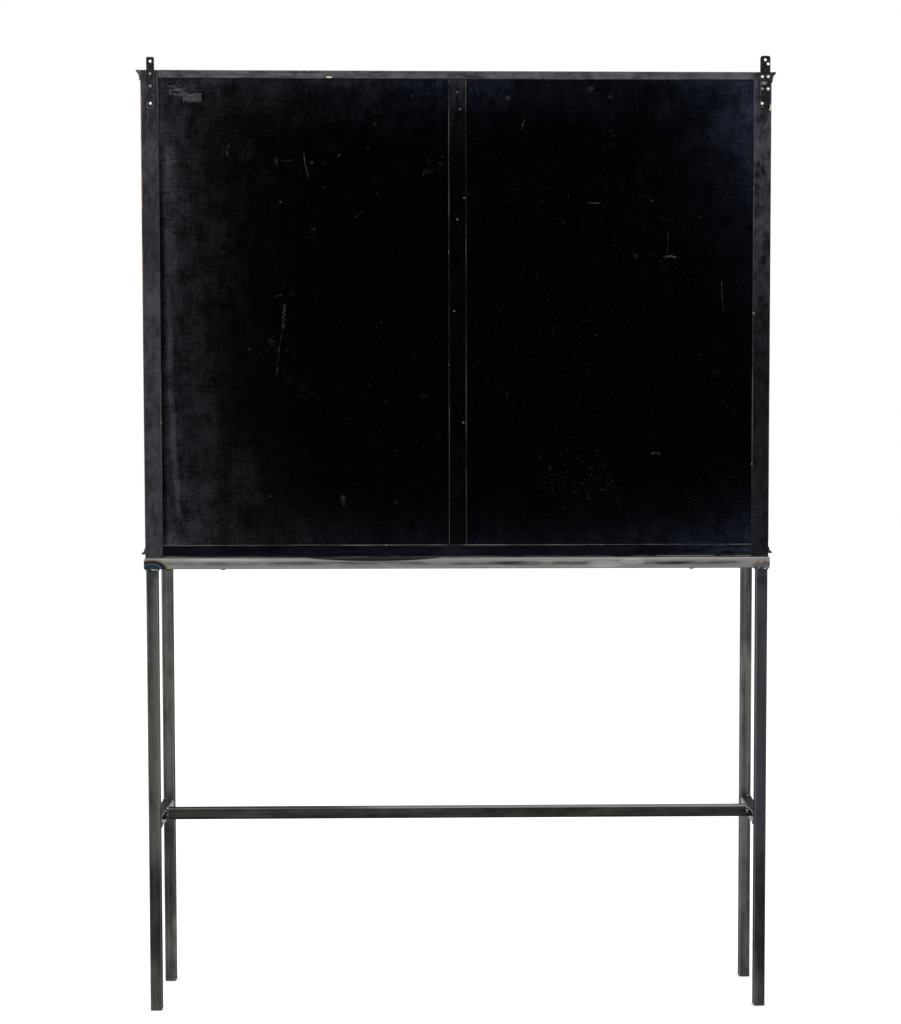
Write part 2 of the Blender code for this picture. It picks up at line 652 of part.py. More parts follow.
def leaf_seat(sign, edge, outwards, middle_z):
    """Gives the box to cut for a hinge leaf that lies flush in a wooden edge."""
    depth = LEAF_THICKNESS + FIT
    low_x, high_x = spread(sign, edge - outwards * OVERCUT, edge + outwards * depth)
    half = HINGE_HEIGHT / 2 + FIT
    return ((low_x, FACE_Y - OVERCUT, middle_z - half), (high_x, FACE_Y + LEAF_WIDTH + FIT, middle_z + half))


def leaf_outline(knuckles):
    """Gives a leaf's side view: a plate with a tongue into each of its own knuckles."""
    half = HINGE_HEIGHT / 2
    rear = FACE_Y + LEAF_WIDTH - HINGE_AXIS_Y
    front = BARREL_RADIUS + FIT
    root = (BARREL_RADIUS + PIN_RADIUS + FIT) / 2
    edge = [(front, half)]
    for knuckle_top, knuckle_foot in knuckles:
        high_z, low_z = knuckle_top - FIT, knuckle_foot + FIT
        edge += [(front, high_z), (root, high_z), (root, low_z), (front, low_z)]
    return [(rear, -half), (rear, half)] + edge + [(front, -half)]


def build_hinge(side, sign, level, middle_z, axis, brass):
    """Builds one butt hinge: a frame leaf that carries the pin, and a door leaf that turns on it."""
    half = HINGE_HEIGHT / 2
    middle = MIDDLE_KNUCKLE / 2
    place = (sign * HINGE_AXIS_X, HINGE_AXIS_Y, middle_z)
    near, far = DOOR_GAP / 2, DOOR_GAP / 2 + LEAF_THICKNESS
    outer = [(half, middle + FIT), (-middle - FIT, -half)]

    frame_leaf = bmesh.new()
    prism(frame_leaf, leaf_outline(outer), "X", *spread(sign, near, far))
    piece = add_object(f"{side}_{level}_hinge_frame_leaf", frame_leaf, place, brass)
    barrel = bmesh.new()
    turned(barrel, [(0.0, half + BARREL_TIP), (BARREL_RADIUS - BARREL_TIP, half + BARREL_TIP),
                    (BARREL_RADIUS, half), (BARREL_RADIUS, middle + FIT), (PIN_RADIUS, middle + FIT),
                    (PIN_RADIUS, -middle - FIT), (BARREL_RADIUS, -middle - FIT), (BARREL_RADIUS, -half),
                    (BARREL_RADIUS - BARREL_TIP, -half - BARREL_TIP), (0.0, -half - BARREL_TIP)], (0, 0, 1))
    bmesh.ops.translate(barrel, verts=barrel.verts, vec=place)
    apply_shape(piece, barrel, "UNION")

    door_leaf = bmesh.new()
    prism(door_leaf, leaf_outline([(middle, -middle)]), "X", *spread(sign, -near, -far))
    piece = add_object(f"{side}_{level}_hinge_door_leaf", door_leaf, place, brass, axis)
    knuckle = bmesh.new()
    bore = PIN_RADIUS + FIT
    turned(knuckle, [(bore, middle), (BARREL_RADIUS, middle), (BARREL_RADIUS, -middle), (bore, -middle),
                     (bore, middle)], (0, 0, 1))
    bmesh.ops.translate(knuckle, verts=knuckle.verts, vec=place)
    apply_shape(piece, knuckle, "UNION")


# Latches

def knob_profile():
    """Gives the turned section of a knob, its rose, its spindle and the stub that carries the finger."""
    tip = LATCH_Y + LATCH_THICKNESS - FACE_Y
    shoulder = LATCH_Y - FACE_Y - FIT
    cap = arc((0.0, KNOB_CROWN - KNOB_REACH), (KNOB_RADIUS, KNOB_CROWN), -90, KNOB_SWEEP, MOULDING_STEPS)
    neck = [(KNOB_NECK_RADIUS, -KNOB_ROSE_THICKNESS - KNOB_NECK_LENGTH),
            (KNOB_NECK_RADIUS, -KNOB_ROSE_THICKNESS),
            (KNOB_ROSE_RADIUS, -KNOB_ROSE_EDGE), (KNOB_ROSE_RADIUS, -FIT)]
    spindle = [(SPINDLE_RADIUS, -FIT), (SPINDLE_RADIUS, shoulder), (SPINDLE_STUB_RADIUS, shoulder),
               (SPINDLE_STUB_RADIUS, tip), (0.0, tip)]
    return cap + neck + spindle


def finger_outline():
    """Gives a latch finger that hangs from its hub: two round ends joined by tangent sides."""
    tilt = -math.degrees(math.asin((LATCH_HUB_RADIUS - LATCH_TIP_RADIUS) / LATCH_LENGTH))
    reach = LATCH_LENGTH - LATCH_TIP_RADIUS
    hub_radii = (LATCH_HUB_RADIUS, LATCH_HUB_RADIUS)
    tip_radii = (LATCH_TIP_RADIUS, LATCH_TIP_RADIUS)
    hub = arc((0.0, 0.0), hub_radii, tilt, 180 - 2 * tilt, MOULDING_STEPS)
    tip = arc((0.0, -reach), tip_radii, 180 - tilt, 180 + 2 * tilt, MOULDING_STEPS)
    return hub + tip


def build_latch(side, sign, axis, brass):
    """Builds the knob with its spindle, and the finger that turns behind the centre post."""
    knob = bmesh.new()
    turned(knob, knob_profile(), (0, 1, 0))
    add_object(f"{side}_knob", knob, (sign * SPINDLE_X, FACE_Y, SPINDLE_Z), brass, axis)
    finger = bmesh.new()
    prism(finger, finger_outline(), "Y", 0.0, LATCH_THICKNESS)
    piece = add_object(f"{side}_latch_finger", finger, (sign * SPINDLE_X, LATCH_Y, SPINDLE_Z), brass, axis)
    bore = bmesh.new()
    cylinder(bore, (sign * SPINDLE_X, SPINDLE_Z), SPINDLE_STUB_RADIUS + FIT, "Y", LATCH_Y - OVERCUT,
             LATCH_Y + LATCH_THICKNESS + OVERCUT, ROUND_STEPS)
    apply_shape(piece, bore, "DIFFERENCE")


def main():
    for old in list(bpy.data.objects):
        bpy.data.objects.remove(old)
    finish = paint_metal_glass()
    build_stand(finish["raw_steel"])
    build_case(finish["black_paint"])
    build_face(finish["black_paint"])
    build_mouldings(finish["black_paint"])
    build_back(finish["black_paint"])
    build_irons(finish["dark_iron"])
    for side, sign in SIDES:
        door_axis = add_axis(f"{side}_door_axis", (sign * HINGE_AXIS_X, HINGE_AXIS_Y, DOOR_BOTTOM_Z))
        latch_axis = add_axis(f"{side}_latch_axis", (sign * SPINDLE_X, FACE_Y, SPINDLE_Z), door_axis)
        build_door(side, sign, door_axis, finish["black_paint"], finish["window_glass"])
        for level, middle_z in zip(("lower", "upper"), hinge_heights()):
            build_hinge(side, sign, level, middle_z, door_axis, finish["aged_brass"])
        build_latch(side, sign, latch_axis, finish["aged_brass"])


main()
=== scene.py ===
"""Looks of the shop display cabinet: worn black paint, bare welded steel, dark irons, aged brass, old glass.

Metres, +Z up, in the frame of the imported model. The framed back faces +Y, towards the camera. Left and
right are as seen from the front, so left is -X.
"""
import math
import random

import bmesh
import bpy
from mathutils import Matrix, Vector


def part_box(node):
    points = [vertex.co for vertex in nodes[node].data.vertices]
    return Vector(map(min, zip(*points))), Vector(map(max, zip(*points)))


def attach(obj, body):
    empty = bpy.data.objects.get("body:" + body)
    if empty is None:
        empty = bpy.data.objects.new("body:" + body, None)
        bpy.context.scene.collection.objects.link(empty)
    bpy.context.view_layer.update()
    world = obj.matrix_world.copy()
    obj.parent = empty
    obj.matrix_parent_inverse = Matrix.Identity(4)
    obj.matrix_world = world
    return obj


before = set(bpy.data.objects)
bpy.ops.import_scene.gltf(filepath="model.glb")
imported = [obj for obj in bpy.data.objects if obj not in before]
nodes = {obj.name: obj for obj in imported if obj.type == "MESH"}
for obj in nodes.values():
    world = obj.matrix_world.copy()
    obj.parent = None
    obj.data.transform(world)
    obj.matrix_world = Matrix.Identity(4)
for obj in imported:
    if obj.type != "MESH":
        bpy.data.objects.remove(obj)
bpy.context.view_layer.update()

# Camera that took the photograph
EYE = (0.00866, 3.57556, 1.07283)
LENS = 70.0
SIDEWAYS_SHIFT = -0.05157
YAW = 0.02531
PITCH = 0.05581
ROLL = 0.00051

# Studio
FLOOR_RADIUS = 12.0
FLOOR_DROP = 0.0005
CEILING_GLOW = 1.3
BACKDROP_GLOW = 0.6
DARK_ROOM_GLOW = 0.02
NEAR_FLOOR_GLOW = 1.00
FAR_FLOOR_GLOW = 0.85
UNDERFOOT_GLOW = 0.12
FLOOR_GLOW = 0.25
CASE_MIDDLE = (0, 0, 1.0)

# Colours, as linear light
GREY_DUST_AND_SHEEN = (0.060, 0.062, 0.074, 1)
BLUE_DUST_AND_SHEEN = (0.040, 0.052, 0.090, 1)
RUBBED_PAINT_AND_HIGHLIGHT = (0.135, 0.135, 0.125, 1)
SCUFFED_PAINT = (0.110, 0.105, 0.118, 1)
INSIDE_BLACK = (0.020, 0.020, 0.021, 1)
BARE_WOOD = (0.42, 0.29, 0.15, 1)
BROWN_WOOD = (0.28, 0.165, 0.075, 1)
TORN_WOOD = (0.72, 0.63, 0.48, 1)
KHAKI_WOOD = (0.11, 0.095, 0.052, 1)
CLEAN_STEEL = (0.47, 0.47, 0.45, 1)
WARM_SCALE = (0.082, 0.080, 0.071, 1)
COOL_SCALE = (0.074, 0.076, 0.076, 1)
BLUE_SCALE = (0.064, 0.071, 0.094, 1)
SCUFFED_SCALE_AND_GLEAM = (0.22, 0.22, 0.20, 1)
SOOT_AND_SHADE = (0.006, 0.006, 0.007, 1)
IRON_BLACK = (0.0025, 0.003, 0.0045, 1)
IRON_GREY = (0.009, 0.011, 0.015, 1)
RUBBED_IRON = (0.17, 0.175, 0.18, 1)
ZINC_AND_HIGHLIGHT = (0.86, 0.86, 0.85, 1)
DULL_ZINC = (0.30, 0.30, 0.29, 1)
WELD_CREST = (0.55, 0.57, 0.58, 1)
WELD_SOOT = (0.022, 0.030, 0.036, 1)
BRASS = (0.47, 0.33, 0.13, 1)
BRASS_PATINA = (0.075, 0.050, 0.024, 1)
GRAZING_STEEL = (0.4, 0.4, 0.4, 1)
GLASS_TINT = (0.93, 0.96, 0.945, 1)
GLASS_GRIME = (0.02, 0.024, 0.022, 1)
FLOOR_DIM = (0.86, 0.86, 0.86, 1)
FLOOR_PALE = (0.90, 0.90, 0.90, 1)
WHITE = (1, 1, 1, 1)

# Surfaces: depth of the bumps, a pattern's shift by its seed, a weld's heat on the left and right
PAINT_RELIEF = 0.0007
STEEL_RELIEF = 0.0002
IRON_RELIEF = 0.0012
BRASS_RELIEF = 0.0001
WELD_RELIEF = 0.0006
GLASS_RELIEF = 0.0015
SEED_SHIFT = (7.31, 3.17, 5.73)
HEATED_REACH = (0.0105, 0.0145)
HEAT_FADE = 1.6
FRAYED_EDGE = 0.0010

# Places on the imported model
SIDES = (("left", -1), ("right", 1))
INNER_FACE_Y = 0.1005
OUTER_FACE_Y = 0.1040
PANEL_SIDE_X = 0.5135
PANEL_TOP_Z = 1.6263
PANEL_FOOT_Z = 0.8223
POLISHED_X = (0.5244, 0.5236)
LEG_X = 0.533
REAR_Y = 0.0976
FRONT_Y = -0.0824
RAIL_FOOT_Z = 0.780
RAIL_Z = 0.790
STRETCHER_Z = 0.331
FIXING_SCREW_X = 0.410
HINGE_SCREW_Y = -0.0774
HINGE_FRAME_FACE_X = 0.514
HINGE_DOOR_FACE_X = 0.5125

# Sizes of the small pieces
SHARP_ANGLE = math.radians(40)
PLAIN, SLOTTED, CROSSED = range(3)
CUT_SHARE = 0.17
CUT_DEPTH_SHARE = 0.6
BEAD_RADIUS = 0.0024
BEAD_SINK = 0.0008
BEAD_CORNER = 0.0022
BEAD_STEPS = 14
CORNER_STEPS = 4
BEAD_RIPPLE = 3
BEAD_FIT = 0.0003
GLAZING_WIDTH = 0.0060
HEAD_SEAT = 0.0002
IRON_SCREW_RADIUS = 0.0027
IRON_SCREW_HEIGHT = 0.0012
PLATE_SIDE = 0.005
NAIL_RADIUS = 0.0018
NAIL_HEIGHT = 0.0006
RAIL_SCREW_RADIUS = 0.0042
RAIL_SCREW_HEIGHT = 0.0024
HINGE_SCREW_RADIUS = 0.0026
HINGE_SCREW_HEIGHT = 0.0003
HINGE_SCREW_STEP = 0.021


# Shader maths

class Shade:
    """One socket in a finish, so that shader maths reads as plain sums."""

    def __init__(self, finish, socket):
        self.finish = finish
        self.socket = socket

    def __add__(self, other):
        return self.finish.maths("ADD", self, other)

    __radd__ = __add__

    def __sub__(self, other):
        return self.finish.maths("SUBTRACT", self, other)

    def __rsub__(self, other):
        return self.finish.maths("SUBTRACT", other, self)

    def __mul__(self, other):
        return self.finish.maths("MULTIPLY", self, other)

    __rmul__ = __mul__

    def __truediv__(self, other):
        return self.finish.maths("DIVIDE", self, other)

    def __abs__(self):
        return self.finish.maths("ABSOLUTE", self)


def set_ramp(ramp, stops):
    """Gives a colour ramp its (position, colour) stops."""
    while len(ramp.elements) < len(stops):
        ramp.elements.new(1.0)
    for element, (position, colour) in zip(ramp.elements, stops):
        element.position = position
        element.color = colour


class Finish:
    """The nodes of one material, or of the world, on the object's own coordinates."""

    def __init__(self, tree, seed=0):
        self.tree = tree
        self.shift = tuple(seed * share for share in SEED_SHIFT)
        self.spot = self.node("TexCoord", out="Object")
        self.x, self.y, self.z = (self.node("SeparateXYZ", sockets={0: self.spot}, out=axis)
                                  for axis in "XYZ")

    def node(self, kind, settings=None, sockets=None, out=0):
        """Adds a node, sets it up, then feeds its sockets with values or links."""
        made = self.tree.nodes.new("ShaderNode" + kind)
        for name, value in (settings or {}).items():
            if name == "stops":
                set_ramp(made.color_ramp, value)
            else:
                setattr(made, name, value)
        for key, value in (sockets or {}).items():
            self.feed(made.inputs[key], value)
        return Shade(self, made.outputs[out])

    def feed(self, socket, value):
        """Links a socket to a shade, or sets its own value."""
        if isinstance(value, Shade):
            self.tree.links.new(value.socket, socket)
        else:
            socket.default_value = value

    def maths(self, operation, *values):
        return self.node("Math", {"operation": operation}, dict(enumerate(values)))

    def smaller(self, first, second):
        return self.maths("MINIMUM", first, second)

    def larger(self, first, second):
        return self.maths("MAXIMUM", first, second)

    def step(self, value, start, end):
        """Rises smoothly from 0 at start to 1 at end, which may lie below start."""
        return self.node("MapRange", {"interpolation_type": "SMOOTHSTEP"}, {0: value, 1: start, 2: end})

    def lay(self, share, under, over):
        """Lays one colour over another, by a share from 0 to 1."""
        return self.node("Mix", {"data_type": "RGBA"}, {0: share, 6: under, 7: over}, out=2)

    def repeated(self, repeats):
        """The spot in a pattern with so many repeats a metre, the same all ways or each way its own."""
        if not isinstance(repeats, tuple):
            repeats = (repeats,) * 3
        return self.node("VectorMath", {"operation": "MULTIPLY_ADD"},
                         {0: self.spot, 1: repeats, 2: self.shift})

    def noise(self, repeats, detail=3.0, rough=0.55):
        """Cloudy noise with so many repeats a metre, about 0.5 on average."""
        return self.node("TexNoise", sockets={"Vector": self.repeated(repeats), "Scale": 1.0,
                                              "Detail": detail, "Roughness": rough})

    def specks(self, spacing, size, rare=0.6):
        """Small round specks, at most one in each cell of the given spacing, each of its own strength."""
        sockets = {"Vector": self.repeated(1 / spacing), "Scale": 1.0}
        distance = self.node("TexVoronoi", sockets=sockets, out="Distance")
        strength = self.node("TexVoronoi", sockets=sockets, out="Color")
        return self.step(distance, size / spacing, 0.3 * size / spacing) * self.step(strength, rare, 1.0)

    def edge_gap(self, box):
        """How far a spot on a board or tube is from the nearest edge of its box."""
        low, high = box
        gaps = [self.smaller(value - near, far - value)
                for value, near, far in zip((self.x, self.y, self.z), low, high)]
        lesser = self.smaller(gaps[0], gaps[1])
        greater = self.larger(gaps[0], gaps[1])
        return self.larger(lesser, self.smaller(greater, gaps[2]))

    def distance_to(self, point, stretch):
        """How far a spot is from a point, once each axis has been stretched or shortened."""
        offset = self.node("VectorMath", {"operation": "SUBTRACT"}, {0: self.spot, 1: point})
        shaped = self.node("VectorMath", {"operation": "MULTIPLY"}, {0: offset, 1: stretch})
        return self.node("VectorMath", {"operation": "LENGTH"}, {0: shaped}, out="Value")

    def scratch(self, start, end, bow, width):
        """A thin mark on the back from one (x, z) place to another, bowed to one side."""
        along = Vector(end) - Vector(start)
        length = along.length
        along /= length
        from_x = self.x - start[0]
        from_z = self.z - start[1]
        share = (from_x * along.x + from_z * along.y) / length
        aside = from_z * along.x - from_x * along.y
        bowed = aside - 4 * bow * (share - share * share)
        middle = self.step(abs(share - 0.5), 0.5, 0.3)
        return self.step(abs(bowed), width, 0.2 * width) * middle

    def fade(self, distance, reach):
        """Falls from 1 by about two thirds over each reach of distance."""
        return self.maths("EXPONENT", distance * (-1 / reach))

    def smudge(self, place, reach):
        """A soft round patch about an (x, z) place, with a reach each way."""
        off_x = (self.x - place[0]) / reach[0]
        off_z = (self.z - place[1]) / reach[1]
        return self.step(off_x * off_x + off_z * off_z, 1.0, 0.1)

    def oblong(self, place, half, ragged):
        """An oblong patch about an (x, z) place, with a half size each way and ragged but firm edges."""
        past_x = abs(self.x - place[0]) - half[0]
        past_z = abs(self.z - place[1]) - half[1]
        return self.step(self.larger(past_x, past_z) + ragged, FRAYED_EDGE, -FRAYED_EDGE)

    def bump(self, height, depth):
        return self.node("Bump", sockets={"Strength": 1.0, "Distance": depth, "Height": height})


def new_finish(name, seed, metallic=0.0, specular=0.5):
    """Makes a material with one shader and gives its nodes and the shader."""
    material = bpy.data.materials.new(name)
    material.use_nodes = True
    finish = Finish(material.node_tree, seed)
    shader = material.node_tree.nodes["Principled BSDF"]
    shader.inputs["Metallic"].default_value = metallic
    shader.inputs["Specular IOR Level"].default_value = specular
    return material, finish, shader


def coat(finish, shader, colour, rough, height, depth):
    """Feeds a finish's colour, roughness and bumps to its shader."""
    finish.feed(shader.inputs["Base Color"], colour)
    finish.feed(shader.inputs["Roughness"], rough)
    finish.feed(shader.inputs["Normal"], finish.bump(height, depth))


def longest_side(box):
    """Gives the axis along which a board or tube runs."""
    low, high = box
    return max(range(3), key=lambda axis: high[axis] - low[axis])


def along_run(run, along, across):
    """Gives repeats a metre that are few along one axis and many across it."""
    repeats = [across] * 3
    repeats[run] = along
    return tuple(repeats)


# Finishes

def shaded(colour, share):
    """Gives a colour so many times as light."""
    return tuple(share * channel for channel in colour[:3]) + (1,)


def black_paint(name, box, seed, tone, dust, rub, gloss, sheen, inner_dull=0.0, marks=None):
    """Old brushed black paint on a board: hazy, rubbed pale along the edges and chipped to the wood."""
    material, finish, shader = new_finish(f"{name}_paint", seed, specular=sheen)
    run = longest_side(box)
    brush = finish.noise(along_run(run, 5, 240), 4, 0.6)
    cloud = finish.noise(15, 5, 0.62)
    mottle = finish.noise(along_run(run, 60, 130), 4, 0.65)
    grit = finish.noise(420, 2)
    edge = finish.edge_gap(box)

    patchy = finish.step(0.40 * cloud + 0.32 * mottle + 0.18 * brush + 0.10 * grit, 0.40, 0.60)
    colour = finish.lay(patchy, shaded(tone, 0.4), shaded(tone, 1.3))
    colour = finish.lay(dust * patchy, colour, GREY_DUST_AND_SHEEN)
    colour = finish.lay(0.35 * finish.specks(0.036, 0.0019), colour, RUBBED_PAINT_AND_HIGHLIGHT)
    stretch = finish.step(finish.noise(along_run(run, 6, 24), 3, 0.6), 0.42, 0.60)
    worn_line = finish.step(edge + 0.0026 * cloud + 0.0012 * grit - 0.0020 * rub * stretch, 0.0034, 0.0020)
    colour = finish.lay(rub * worn_line * (0.35 + 0.65 * stretch), colour, RUBBED_PAINT_AND_HIGHLIGHT)
    near_edge = finish.step(edge, 0.006, 0.0)
    chip_start = 0.806 - 0.04 * rub
    chip = finish.noise(70, 3, 0.6) + 0.12 * near_edge
    chip = finish.step(chip, chip_start, chip_start + 0.03) * near_edge
    colour = finish.lay(chip, colour, BARE_WOOD)
    if marks:
        colour = marks(finish, colour, brush)
    rough = gloss * (0.85 + 0.3 * patchy) + 0.2 * worn_line
    if inner_dull:
        indoors = finish.step(finish.y, OUTER_FACE_Y, INNER_FACE_Y)
        dull = finish.lay(finish.step(brush, 0.35, 0.65), shaded(INSIDE_BLACK, 0.5), INSIDE_BLACK)
        colour = finish.lay(indoors, colour, dull)
        rough = rough + inner_dull * indoors

    height = 0.6 * brush + 0.12 * grit - 1.6 * chip - 0.3 * worn_line
    coat(finish, shader, colour, rough, height, PAINT_RELIEF * gloss)
    return material


def panel_dust_and_sheen(finish):
    """How much dust and painted sheen the back panels show: most by the right stile, the top and three
    corners, less in a painted shadow just inside the right stile.
    """
    drift = finish.noise(6, 4, 0.6)
    from_right = PANEL_SIDE_X - finish.x + 0.09 * (drift - 0.5)
    from_left = finish.x + PANEL_SIDE_X + 0.20 * (drift - 0.5)
    from_top = PANEL_TOP_Z - finish.z + 0.08 * (drift - 0.5)
    from_foot = finish.z - PANEL_FOOT_Z + 0.05 * (drift - 0.5)
    haze = (0.34 * finish.fade(from_right, 0.055)
            + finish.fade(from_top, 0.030) * (0.09 + 0.17 * finish.step(finish.x, -0.25, 0.05))
            + 0.38 * finish.fade(from_left, 0.065) * finish.fade(from_top, 0.13)
            + finish.fade(from_foot, 0.032) * (0.08 + 0.22 * finish.fade(from_left, 0.06))
            + 0.18 * finish.fade(from_right, 0.11) * finish.fade(from_foot, 0.09))
    for start, end, bow, width, strength in (
            ((0.496, 1.56), (0.4925, 1.25), 0.002, 0.016, 0.16),
            ((0.4975, 1.255), (0.4805, 0.83), 0.006, 0.007, 0.3),
            ((0.444, 1.13), (0.433, 0.86), -0.008, 0.026, 0.07),
            ((0.372, 1.0), (0.36, 0.88), 0.004, 0.034, 0.06)):
        haze = haze + strength * finish.scratch(start, end, bow, width)
    upright = finish.noise((360, 60, 26), 4, 0.65)
    across = finish.noise((26, 60, 360), 4, 0.65)
    blotch = finish.noise((28, 28, 22), 8, 0.70)
    grain = finish.noise(480, 4, 0.75)
    texture = finish.step(0.16 * upright + 0.16 * across + 0.34 * blotch + 0.34 * grain, 0.40, 0.62)
    spread = finish.fade(from_top, 0.15) + finish.fade(from_right, 0.12) + 0.5 * finish.fade(from_foot, 0.05)
    patches = finish.step(0.6 * blotch + 0.4 * grain, 0.50, 0.66) * spread
    # A painted shadow band just inside the right stile, low down.
    painted_shadow_beside_stile = finish.step(finish.x, 0.503, 0.509) * finish.step(finish.z, 1.52, 1.40)
    return (haze * (0.10 + 1.15 * texture) + 0.06 * patches) * (1 - 0.75 * painted_shadow_beside_stile)


def fine_scratches(finish):
    """Short, hair-thin, curling scratches, far between."""
    hairs = finish.step(abs(finish.noise(26, 2) - 0.5), 0.007, 0.001)
    return hairs * finish.step(finish.noise(34, 2), 0.60, 0.70)


def panel_marks(finish, colour, brush):
    """Dust and painted sheen, two torn patches, scuffs and scratches on the outer face of the two back
    panels.
    """
    outer_face = finish.step(finish.y, INNER_FACE_Y, OUTER_FACE_Y)
    # The pale haze is part dust, part painted sheen: grey by the right stile, blue towards the left.
    dust = finish.lay(finish.step(finish.x, 0.40, -0.05), GREY_DUST_AND_SHEEN, BLUE_DUST_AND_SHEEN)
    colour = finish.lay(outer_face * panel_dust_and_sheen(finish), colour, dust)

    flakes = finish.noise((90, 90, 260), 4, 0.65)
    torn = [finish.oblong(place, half, fray * (flakes - 0.5)) * finish.step(flakes, *gaps)
            for place, half, fray, gaps in (((0.4795, 1.6053), (0.0165, 0.01), 0.012, (0.44, 0.56)),
                                            ((0.456, 1.5941), (0.0155, 0.007), 0.009, (0.3, 0.46)))]
    scuffs = 0.0
    for start, end, bow, width, strength in (
            ((0.388, 1.5198), (0.3865, 1.4857), 0.01, 0.0013, 0.4),
            ((0.493, 1.4854), (0.4827, 1.4854), 0.0005, 0.0015, 0.7),
            ((0.2643, 1.5048), (0.2534, 1.453), 0.003, 0.0013, 0.55),
            ((0.3092, 1.4867), (0.2808, 1.4868), 0.0, 0.0011, 0.25),
            ((0.318, 1.253), (0.301, 1.259), 0.001, 0.0011, 0.22),
            ((0.299, 1.252), (0.283, 1.259), 0.0, 0.0011, 0.24),
            ((0.2985, 1.245), (0.302, 1.193), 0.001, 0.0036, 0.28),
            ((0.3035, 1.196), (0.314, 1.107), 0.002, 0.0013, 0.24),
            ((0.183, 1.385), (0.162, 1.402), 0.0, 0.0012, 0.16),
            ((-0.0325, 1.6236), (-0.0393, 1.5946), 0.003, 0.0012, 0.28),
            ((-0.1186, 1.5594), (-0.1119, 1.5377), 0.002, 0.0015, 0.3),
            ((-0.2246, 1.4152), (-0.2489, 1.4152), 0.0, 0.0014, 0.5),
            ((-0.356, 1.3205), (-0.382, 1.3205), -0.003, 0.0024, 0.4),
            ((-0.364, 1.323), (-0.365, 1.37), 0.001, 0.0012, 0.14),
            ((-0.46, 1.29), (-0.465, 1.22), 0.002, 0.0014, 0.2),
            ((-0.335, 0.979), (-0.355, 0.979), -0.002, 0.003, 0.25)):
        scuffs = scuffs + strength * finish.scratch(start, end, bow, width)
    for place, reach, strength in (
            ((0.251, 1.4834), (0.003, 0.003), 0.5), ((0.3053, 1.4167), (0.003, 0.003), 0.5),
            ((0.204, 1.496), (0.004, 0.0025), 0.4), ((0.25, 1.369), (0.006, 0.003), 0.25),
            ((-0.0877, 1.5947), (0.0055, 0.0055), 0.3), ((-0.2641, 1.597), (0.0045, 0.004), 0.35),
            ((-0.2312, 1.6106), (0.009, 0.006), 0.18), ((0.4558, 0.8555), (0.011, 0.013), 0.1),
            ((-0.337, 1.42), (0.0035, 0.0035), 0.35), ((0.2, 0.9), (0.006, 0.012), 0.2)):
        scuffs = scuffs + strength * finish.smudge(place, reach)
    broken = finish.step(finish.noise(320, 4, 0.7), 0.43, 0.60)
    scuffs = scuffs * (0.05 + 0.95 * broken) + finish.larger(*torn) * (0.24 + 0.26 * broken)
    gathered = finish.step(finish.noise(9, 3, 0.6), 0.30, 0.68)
    clump = finish.step(finish.noise(40, 2), 0.4, 0.6)
    cluster = finish.smudge((-0.215, 0.955), (0.10, 0.07)) * clump
    scuffs = scuffs + 0.45 * cluster * finish.specks(0.0070, 0.0016, 0.35)
    dots = 0.45 * finish.specks(0.0100, 0.0017, 0.45) + 0.14 * finish.specks(0.0058, 0.0013, 0.30)
    scuffs = scuffs + (0.15 + 0.75 * gathered) * (dots + 0.12 * fine_scratches(finish))
    return finish.lay(outer_face * scuffs, colour, SCUFFED_PAINT)


def top_rail_marks(finish, colour, brush):
    """Dark streaks, a nail hole, a yellow chip and a split in the back's top rail, and a painted shadow
    along its foot.
    """
    drift = finish.noise(14, 3, 0.6)
    streak = finish.noise((8, 60, 520), 3, 0.6)
    colour = finish.lay(0.55 * finish.step(streak, 0.50, 0.68), colour, SOOT_AND_SHADE)
    seam = finish.step(abs(finish.z - 1.6370 + 0.0018 * (drift - 0.5)), 0.0011, 0.0003)
    colour = finish.lay(0.6 * seam * finish.step(drift, 0.40, 0.55), colour, SOOT_AND_SHADE)
    # A painted shadow along the top rail's foot.
    foot = finish.step(finish.z + 0.0012 * brush + 0.0035 * (drift - 0.5), 1.6290, 1.6274)
    colour = finish.lay(0.85 * foot, colour, SOOT_AND_SHADE)
    hole = finish.smudge((0.4763, 1.6307), (0.0026, 0.0026))
    split = finish.scratch((0.006, 1.6368), (-0.052, 1.6296), 0.002, 0.0018)
    colour = finish.lay(finish.larger(hole, 0.8 * split), colour, SOOT_AND_SHADE)
    chip = finish.smudge((0.2204, 1.6288), (0.0060, 0.0015))
    colour = finish.lay(0.7 * chip, colour, BROWN_WOOD)
    return finish.lay(0.85 * finish.step(chip, 0.05, 0.6), colour, TORN_WOOD)


def back_stile_marks(finish, colour, brush):
    """Dust and painted sheen high on the left stile, torn wood by the plate's foot, bare wood on the right
    outer corner.
    """
    break_up = finish.noise((60, 60, 18), 4, 0.6)
    cloudy = finish.step(finish.noise((70, 70, 45), 5, 0.68), 0.28, 0.70)
    upper_left = finish.step(finish.z, 1.10, 1.55) * finish.step(finish.x, 0.0, -0.1)
    # Pale dust with painted sheen over the stiles, strongest high on the left one.
    colour = finish.lay(cloudy * (0.10 + 0.65 * upper_left), colour, GREY_DUST_AND_SHEEN)
    outer_edge = finish.step(finish.x + 0.0012 * (break_up - 0.5), 0.5414, 0.5432)
    bare = outer_edge * finish.step(break_up, 0.38, 0.55) * finish.step(finish.y, 0.1030, 0.1066)
    bare = bare * finish.step(finish.z, 1.62, 1.59) * finish.step(finish.z, 1.10, 1.40)
    colour = finish.lay(0.6 * bare, colour, BROWN_WOOD)
    torn = finish.smudge((-0.5415, 1.580), (0.0028, 0.0075)) * finish.step(break_up, 0.35, 0.5)
    return finish.lay(torn, colour, TORN_WOOD)


def muntin_marks(finish, colour, brush):
    """Dust and painted sheen at the top of the back's muntin."""
    cloudy = finish.step(finish.noise((170, 70, 40), 5, 0.68), 0.25, 0.75)
    return finish.lay(0.45 * cloudy * finish.fade(PANEL_TOP_Z - finish.z, 0.040), colour, GREY_DUST_AND_SHEEN)


